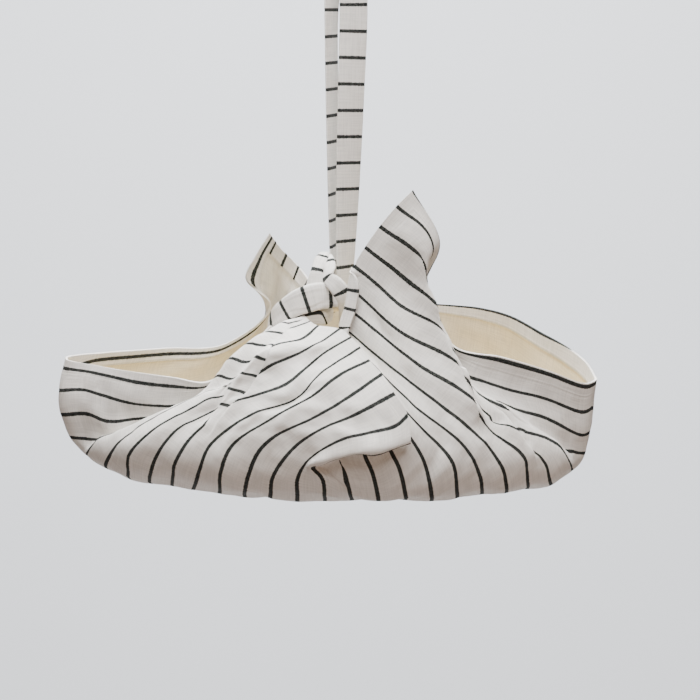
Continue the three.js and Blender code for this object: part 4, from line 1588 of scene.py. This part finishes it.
@dataclass
class Stitching:
    """Rows of topstitching: one stitch is modelled, and copied along each row."""

    length: float = 2.5
    pitch: float = 3.5
    thickness: float = 0.5
    sides: int = 6
    edge: float = 0.2  # how far its ends are bevelled, as a share of its thickness
    dip: float = 0.9  # how far its ends sink, as a share of its thickness

    def one_stitch(self) -> tuple[np.ndarray, list[Face]]:
        """Models one stitch, a short thread that dips at both ends.

        Returns:
            Its points, in millimetres along, across and up, and its faces.
        """
        bpy.ops.object.select_all(action="DESELECT")
        bpy.ops.mesh.primitive_cylinder_add(vertices=self.sides, radius=self.thickness / 2,
                                            depth=self.length, rotation=(0, math.pi / 2, 0))
        stitch = bpy.context.object
        bpy.ops.object.transform_apply(location=True, rotation=True, scale=True)
        bpy.ops.object.mode_set(mode="EDIT")
        bpy.ops.mesh.select_all(action="SELECT")
        bpy.ops.mesh.bevel(offset=self.thickness * self.edge, segments=1, affect="EDGES")
        bpy.ops.object.mode_set(mode="OBJECT")
        points = np.array([vert.co[:] for vert in stitch.data.vertices])
        points[:, 2] -= self.dip * self.thickness * (2 * points[:, 0] / self.length) ** 4
        faces = [tuple(face.vertices) for face in stitch.data.polygons]
        bpy.data.objects.remove(stitch)
        return points, faces

    def sew(self, name: str, rows: list[tuple[np.ndarray, np.ndarray]],
            finish: bpy.types.Material) -> bpy.types.Object:
        """Copies the stitch along rows.

        Args:
            name: the piece's name.
            rows: for each row, the places along it in millimetres of the layout, close together,
                and the directions that stand off the cloth there.
            finish: the thread's material.

        Returns:
            The piece.
        """
        shape, faces = self.one_stitch()
        copies = []
        for places, outward in rows:
            travelled = travel(places)
            middles = np.arange(self.pitch / 2, travelled[-1], self.pitch)
            at = look_up(middles, travelled, places)
            up = unit(look_up(middles, travelled, outward))
            ahead = square_to(up, look_up(middles + 1, travelled, places) - at)
            side = np.cross(up, ahead)
            copies.append(at[:, None] + ahead[:, None] * shape[None, :, :1]
                          + side[:, None] * shape[None, :, 1:2] + up[:, None] * shape[None, :, 2:])
        points = np.concatenate(copies).reshape(-1, 3)
        faces = [tuple(start + i for i in face)
                 for start in range(0, len(points), len(shape)) for face in faces]
        return make_piece(name, points, faces, {}, finish)


@dataclass(frozen=True)
class Crease:
    """A groove that runs along a band. Angles are in radians round its section."""

    depth: float  # as a share of the band's size
    around: float
    width: float
    sway: float = 0.0  # how far it wanders
    wave: float = 1.0  # millimetres for each radian of that
    drift: float = 0.0  # how far it turns with each millimetre

    def at(self, travelled: np.ndarray, angle: np.ndarray) -> np.ndarray:
        """Works out how deep the groove is.

        Args:
            travelled: millimetres along the band, as a column.
            angle: angles round its section, as a row.

        Returns:
            The depths.
        """
        middle = self.around + self.sway * np.sin(travelled / self.wave) + self.drift * travelled
        return self.depth * np.exp(-(((angle - middle) / self.width) ** 2))


@dataclass
class Knot:
    """The gathered corners of the cloth, folded into bands and tied round each other."""

    sides: int = 56
    steps: int = 16
    squareness: float = 0.6  # 1 is an oval section and less is a flatter one
    creases: tuple[Crease, ...] = (Crease(0.09, 1.9, 0.13, sway=0.25, wave=11),
                                   Crease(0.07, 1.1, 0.1, drift=-0.012),
                                   Crease(0.08, 4.6, 0.12, sway=-0.2, wave=9))
    wrinkle_height: float = 0.55
    wrinkle_scale: Place = (0.55, 2.4)  # how close they lie along and round a band
    wrinkle_shift: float = 170.0  # from one band to the next
    print_round: float = 2.2  # pitches of print along its stripes, once round a band
    hem_at: float = 0.36  # where the hem runs, as a share of the way round
    hem_reach: float = 6.0  # centimetres of cloth once round, about
    hem_least: float = 0.4
    shaded_plain_bands: tuple[str, ...] = ("knot_core", "knot_back")  # bands that show the darker plain side, painted shade in the knot's opening

    def __post_init__(self) -> None:
        """Draws the bands' wrinkles."""
        self.wrinkles = Wrinkles(23)

    def make(self, finish: bpy.types.Material) -> list[bpy.types.Object]:
        """Makes the bands.

        Args:
            finish: their material.

        Returns:
            The pieces.
        """
        bands = {"knot_left": LEFT_BAND, "knot_over": OVER_BAND, "knot_right": RIGHT_BAND,
                 "knot_under": UNDER_BAND, "knot_core": CORE_BAND, "knot_back": BACK_BAND}
        return [self.band(name, table, place, finish) for place, (name, table) in enumerate(bands.items())]

    def band(self, name: str, table: tuple[BandRow, ...], place: int,
             finish: bpy.types.Material) -> bpy.types.Object:
        """Sweeps one band through its sections.

        Args:
            name: the piece's name.
            table: its sections.
            place: the band's number, which shifts its wrinkles.
            finish: its material.

        Returns:
            The piece.
        """
        rows = np.array([[*row.at, *row.across, row.wide, row.thick, row.stripe, row.slant]
                         for row in table], float)
        line = run_through(rows, self.steps)
        centre, (wide, thick, stripe, slant) = line[:, :3], line[:, 6:].T
        angle = np.linspace(0, 2 * math.pi, self.sides, endpoint=False)
        level, depth = self.flattened(np.cos(angle)), self.flattened(np.sin(angle))
        size = self.size(travel(centre)[:, None], angle[None], (wide + thick)[:, None], place)
        ahead = unit(np.gradient(centre, axis=0))
        across = square_to(ahead, line[:, 3:6])
        rings = (centre[:, None] + across[:, None] * (wide[:, None] / 2 * level * size)[..., None]
                 + np.cross(ahead, across)[:, None] * (thick[:, None] / 2 * depth * size)[..., None])
        faces, corners = skin(len(line), self.sides)
        ends, end_corners = self.ends(len(line))
        ring, side = np.array(corners + end_corners).T
        around = side / self.sides
        pitches = stripe[ring] + slant[ring] * level[side % self.sides] / 2
        # The core and back bands show the plain side, whose darker colour paints the shade in the knot's
        # opening.
        printed = float(name not in self.shaded_plain_bands)
        hem = np.abs(around - self.hem_at) * self.hem_reach + self.hem_least
        return make_piece(name, np.concatenate([rings.reshape(-1, 3), centre[:1], centre[-1:]]),
                          faces + ends,
                          {"print": np.stack([pitches, self.print_round * around + place], 1),
                           "face": face_marks(printed, hem, len(ring))}, finish)

    def flattened(self, wave: np.ndarray) -> np.ndarray:
        """Flattens an oval section toward a box."""
        return np.sign(wave) * np.abs(wave) ** self.squareness

    def size(self, travelled: np.ndarray, angle: np.ndarray, girth: np.ndarray, place: int) -> np.ndarray:
        """Works out how creases and wrinkles change a band's size.

        Args:
            travelled: millimetres along the band, as a column.
            angle: angles round its section, as a row.
            girth: its width and thickness together, as a column.
            place: the band's number.

        Returns:
            The size, about 1, for each place along and round the band.
        """
        along, round_it = self.wrinkle_scale
        round_band = 2 * girth * (angle / (2 * math.pi))
        start = np.broadcast_to(travelled * along + self.wrinkle_shift * place, round_band.shape)
        spots = np.stack([start, round_band * round_it], 2)
        uneven = self.wrinkles.at(spots.reshape(-1, 2)).reshape(round_band.shape) * self.wrinkle_height
        grooves = sum(crease.at(travelled, angle) for crease in self.creases)
        return 1 - grooves + uneven / (girth / 2)

    def ends(self, rings: int) -> tuple[list[Face], list[tuple[int, int]]]:
        """Closes a band at both ends, round two middle points that follow its rings.

        Args:
            rings: how many rings the band has.

        Returns:
            The faces, and for each of their corners its ring and its place round it.
        """
        count, first = rings - 1, rings * self.sides
        faces, corners = [], []
        for k in range(self.sides):
            m = (k + 1) % self.sides
            faces.append((first, m, k))
            faces.append((first + 1, count * self.sides + k, count * self.sides + m))
            corners += [(0, k), (0, k + 1), (0, k), (count, k), (count, k), (count, k + 1)]
        return faces, corners


@dataclass
class Strap:
    """The doubled strap: one folded and topstitched strip, looped at its top."""

    width: float = 27.0
    thickness: float = STRAP_THICKNESS
    bend: float = 9.0
    steps: int = 22
    bend_steps: int = 24
    edge_bulge: float = 0.25  # how far its folded edges round out
    stitch_line: float = 0.86  # as a share of half the width
    stitch_depth: float = 0.72  # as a share of half the thickness
    print_start: float = -0.176  # where the print starts at the right strand's end, in pitches
    print_change: float = -0.258  # how the print sits differently on the left strand
    change_at: Place = (0.45, 0.55)  # over which share of the length this changes
    to_hem: float = 6.0  # keeps the map clear of the cloth's hem, in centimetres

    def line(self) -> np.ndarray:
        """Works out the strap's centre line.

        Returns:
            Rows of x, y, z and turn, from the right strand's end round to the left one's.
        """
        top = LAYOUT_TOP - self.bend
        right = [*((row.x, row.y, row.z, row.turn) for row in RIGHT_STRAND),
                 (LOOP_X, LOOP_Y - self.bend, top, 0)]
        left = [(LOOP_X, LOOP_Y + self.bend, top, 0),
                *((row.x, row.y, row.z, row.turn) for row in LEFT_STRAND)]
        angle = np.linspace(0, math.pi, self.bend_steps + 1)[1:-1]
        over = np.stack([np.full(len(angle), LOOP_X), LOOP_Y - self.bend * np.cos(angle),
                         top + self.bend * np.sin(angle), np.zeros(len(angle))], 1)
        return np.concatenate([run_through(np.array(right, float), self.steps), over,
                               run_through(np.array(left, float), self.steps)])

    def directions(self) -> tuple[np.ndarray, np.ndarray, np.ndarray]:
        """Works out how the strap lies along its centre line.

        Returns:
            Its centres, and the directions of its width and of its thickness there.
        """
        line = self.line()
        centre = line[:, :3]
        ahead = unit(np.gradient(centre, axis=0))
        turn = np.radians(line[:, 3])
        across = square_to(ahead, np.stack([np.cos(turn), np.sin(turn), np.zeros(len(turn))], 1))
        return centre, across, np.cross(ahead, across)

    def seams(self) -> list[tuple[np.ndarray, np.ndarray]]:
        """Works out where the strap's topstitching runs, along both edges of both faces.

        Returns:
            For each row, its places and the directions that stand off the strap.
        """
        centre, across, through = self.directions()
        off = self.stitch_line * self.width / 2
        sunk = self.stitch_depth * self.thickness / 2
        return [(centre + across * side * off + through * face * sunk, through * face)
                for side in (-1, 1) for face in (-1, 1)]

    def section(self) -> np.ndarray:
        """Draws the strap's section: flat layers with rounded edges and a shallow stitched valley.

        Returns:
            Rows of width and thickness places in millimetres, in order round the section.
        """
        half, thick = self.width / 2, self.thickness / 2
        stations = np.array([-1, -0.93, -0.86, -0.8, -0.5, 0, 0.5, 0.8, 0.86, 0.93, 1])
        height = np.array([0.55, 0.92, 0.72, 0.95, 1.0, 1.0, 1.0, 0.95, 0.72, 0.92, 0.55])
        top = np.stack([stations * half, height * thick], 1)
        bottom = np.stack([stations[::-1] * half, -height * thick], 1)
        edge = half + self.edge_bulge
        return np.concatenate([top, [[edge, 0]], bottom, [[-edge, 0]]])

    def make(self, finish: bpy.types.Material) -> bpy.types.Object:
        """Makes the strap.

        Args:
            finish: its material.

        Returns:
            The piece.
        """
        centre, across, through = self.directions()
        section = self.section()
        rings = (centre[:, None] + across[:, None] * section[None, :, :1]
                 + through[:, None] * section[None, :, 1:])
        sides, last = len(section), len(centre) - 1
        faces, corners = skin(len(centre), sides)
        faces += [tuple(reversed(range(sides))), tuple(range(last * sides, (last + 1) * sides))]
        corners += [(0, k) for k in reversed(range(sides))] + [(last, k) for k in range(sides)]
        ring, side = np.array(corners).T
        travelled = travel(centre)
        shift = self.print_start + self.print_change * soft_step(*self.change_at, travelled / travelled[-1])
        print_map = np.stack([(travelled / PITCH + shift)[ring], section[side % sides, 0] / PITCH], 1)
        return make_piece("strap_strip", rings.reshape(-1, 3), faces,
                          {"print": print_map, "face": face_marks(1, self.to_hem, len(ring))}, finish)


@dataclass(frozen=True)
class Lamp:
    """A square area light. Places are in metres of the frame."""

    name: str
    place: Point
    toward: Point
    size: float
    power: float
    tint: Point

    def light(self) -> None:
        """Sets the light up."""
        data = bpy.data.lights.new(self.name, "AREA")
        data.size = self.size
        data.energy = self.power
        data.color = self.tint
        aim(put_in_scene(self.name, data), self.place, self.toward)


MIDDLE = (0.007, -0.004, -0.4538)  # what the camera looks at

LAMPS = (
    Lamp("key", (0.0, -1.0, 1.15), MIDDLE, 1.6, 45, (0.99, 0.99, 1.0)),
    Lamp("top", (0.0, 0.1, 1.0), MIDDLE, 1.4, 84, (0.97, 0.985, 1.0)),
    Lamp("fill", (2.2, -2.0, -0.5), MIDDLE, 1.8, 11, (1.0, 0.62, 0.40)),
    Lamp("side", (-2.5, -1.2, -0.6), MIDDLE, 1.8, 5, (1.0, 0.62, 0.40)),
    Lamp("bounce", (0.0, -0.7, -1.9), MIDDLE, 1.4, 2.0, (1.0, 0.56, 0.36)),
    Lamp("wash", (0.0, 2.8, 2.6), (0.0, 6.0, -1.2), 3.0, 770, (0.90, 0.945, 1.0)),
)


@dataclass
class Studio:
    """A pale floor that curves up behind, soft light, and the camera. Sizes are in metres."""

    elevation: float = 8.0
    distance: float = 3.0
    focal: float = 154.3
    floor_size: float = 16.0
    floor_place: Point = (0, -1.0, -4.2)
    wall: float = 11.0
    bend: float = 3.2
    bend_steps: int = 24
    far: float = 4.0  # only the floor's back edge lies beyond this
    floor_paint: Paint = Paint((0.86, 0.86, 0.865, 1))
    sky: Colour = (1.0, 0.78, 0.62, 1)
    sky_strength: float = 0.13

    def build(self) -> None:
        """Makes the floor, the lights and the camera."""
        self.camera()
        self.floor()
        self.lights()

    def camera(self) -> None:
        """Points the camera at the bag, a little from above."""
        data = bpy.data.cameras.new("camera")
        data.lens = self.focal
        data.sensor_width = 36.0
        data.clip_end = 50
        camera = put_in_scene("camera", data)
        bpy.context.scene.camera = camera
        angle = math.radians(self.elevation)
        back = Vector((0, -math.cos(angle), math.sin(angle)))
        aim(camera, Vector(MIDDLE) + back * self.distance, MIDDLE)

    def floor(self) -> None:
        """Makes the floor, turned up behind in a wide curve."""
        bpy.ops.object.select_all(action="DESELECT")
        bpy.ops.mesh.primitive_plane_add(size=self.floor_size, location=self.floor_place)
        floor = bpy.context.object
        floor.name = "floor"
        bpy.ops.object.transform_apply(location=True, rotation=True, scale=True)
        bpy.ops.object.mode_set(mode="EDIT")
        self.select_back_edge(floor)
        bpy.ops.mesh.extrude_region_move(TRANSFORM_OT_translate={"value": (0, 0, self.wall)})
        bpy.ops.mesh.select_all(action="DESELECT")
        self.select_back_edge(floor)
        bpy.ops.mesh.bevel(offset=self.bend, segments=self.bend_steps, affect="EDGES")
        bpy.ops.object.mode_set(mode="OBJECT")
        bpy.ops.object.shade_smooth()
        floor.data.materials.append(self.floor_paint.material("floor_paint"))

    def select_back_edge(self, floor: bpy.types.Object) -> None:
        """Selects the floor's back edge, down at its own height.

        Args:
            floor: the floor, in edit mode.
        """
        mesh = bmesh.from_edit_mesh(floor.data)
        for edge in mesh.edges:
            edge.select_set(all(vert.co.y > self.far and vert.co.z < 0 for vert in edge.verts))
        mesh.select_flush_mode()
        bmesh.update_edit_mesh(floor.data)

    def lights(self) -> None:
        """Sets the lights: a broad one in front above, one straight above, low warm ones and a wash.

        The warm ones come from both sides and from below. The wash lights the wall behind, and
        the sky is faint and warm.
        """
        for lamp in LAMPS:
            lamp.light()
        world = bpy.data.worlds.new("studio")
        world.use_nodes = True
        background = world.node_tree.nodes["Background"]
        background.inputs["Color"].default_value = self.sky
        background.inputs["Strength"].default_value = self.sky_strength
        bpy.context.scene.world = world


def main() -> None:
    """Builds the bag and its studio."""
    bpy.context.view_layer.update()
    Studio().build()
    canvas = StripedCanvas().material("striped_canvas")
    webbing = StripedCanvas(half_stripe=1.75).material("strap_canvas")
    thread = Thread().material("cream_thread")
    body, strap, stitching = BodyCloth(), Strap(), Stitching()
    cloth = body.make(canvas)
    on_cloth = [*Knot().make(canvas), stitching.sew("hem_stitches", body.seams(), thread)]
    strip = strap.make(webbing)
    on_strap = [stitching.sew("strap_stitches", strap.seams(), thread)]
    for node, pieces in (("body_cloth", [cloth, *on_cloth]), ("strap", [strip, *on_strap])):
        for piece in pieces:
            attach(piece, "root")
            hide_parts(node)
            LOG.info("%s: %d faces", piece.name, len(piece.data.polygons))


if __name__ == "__main__":
    main()
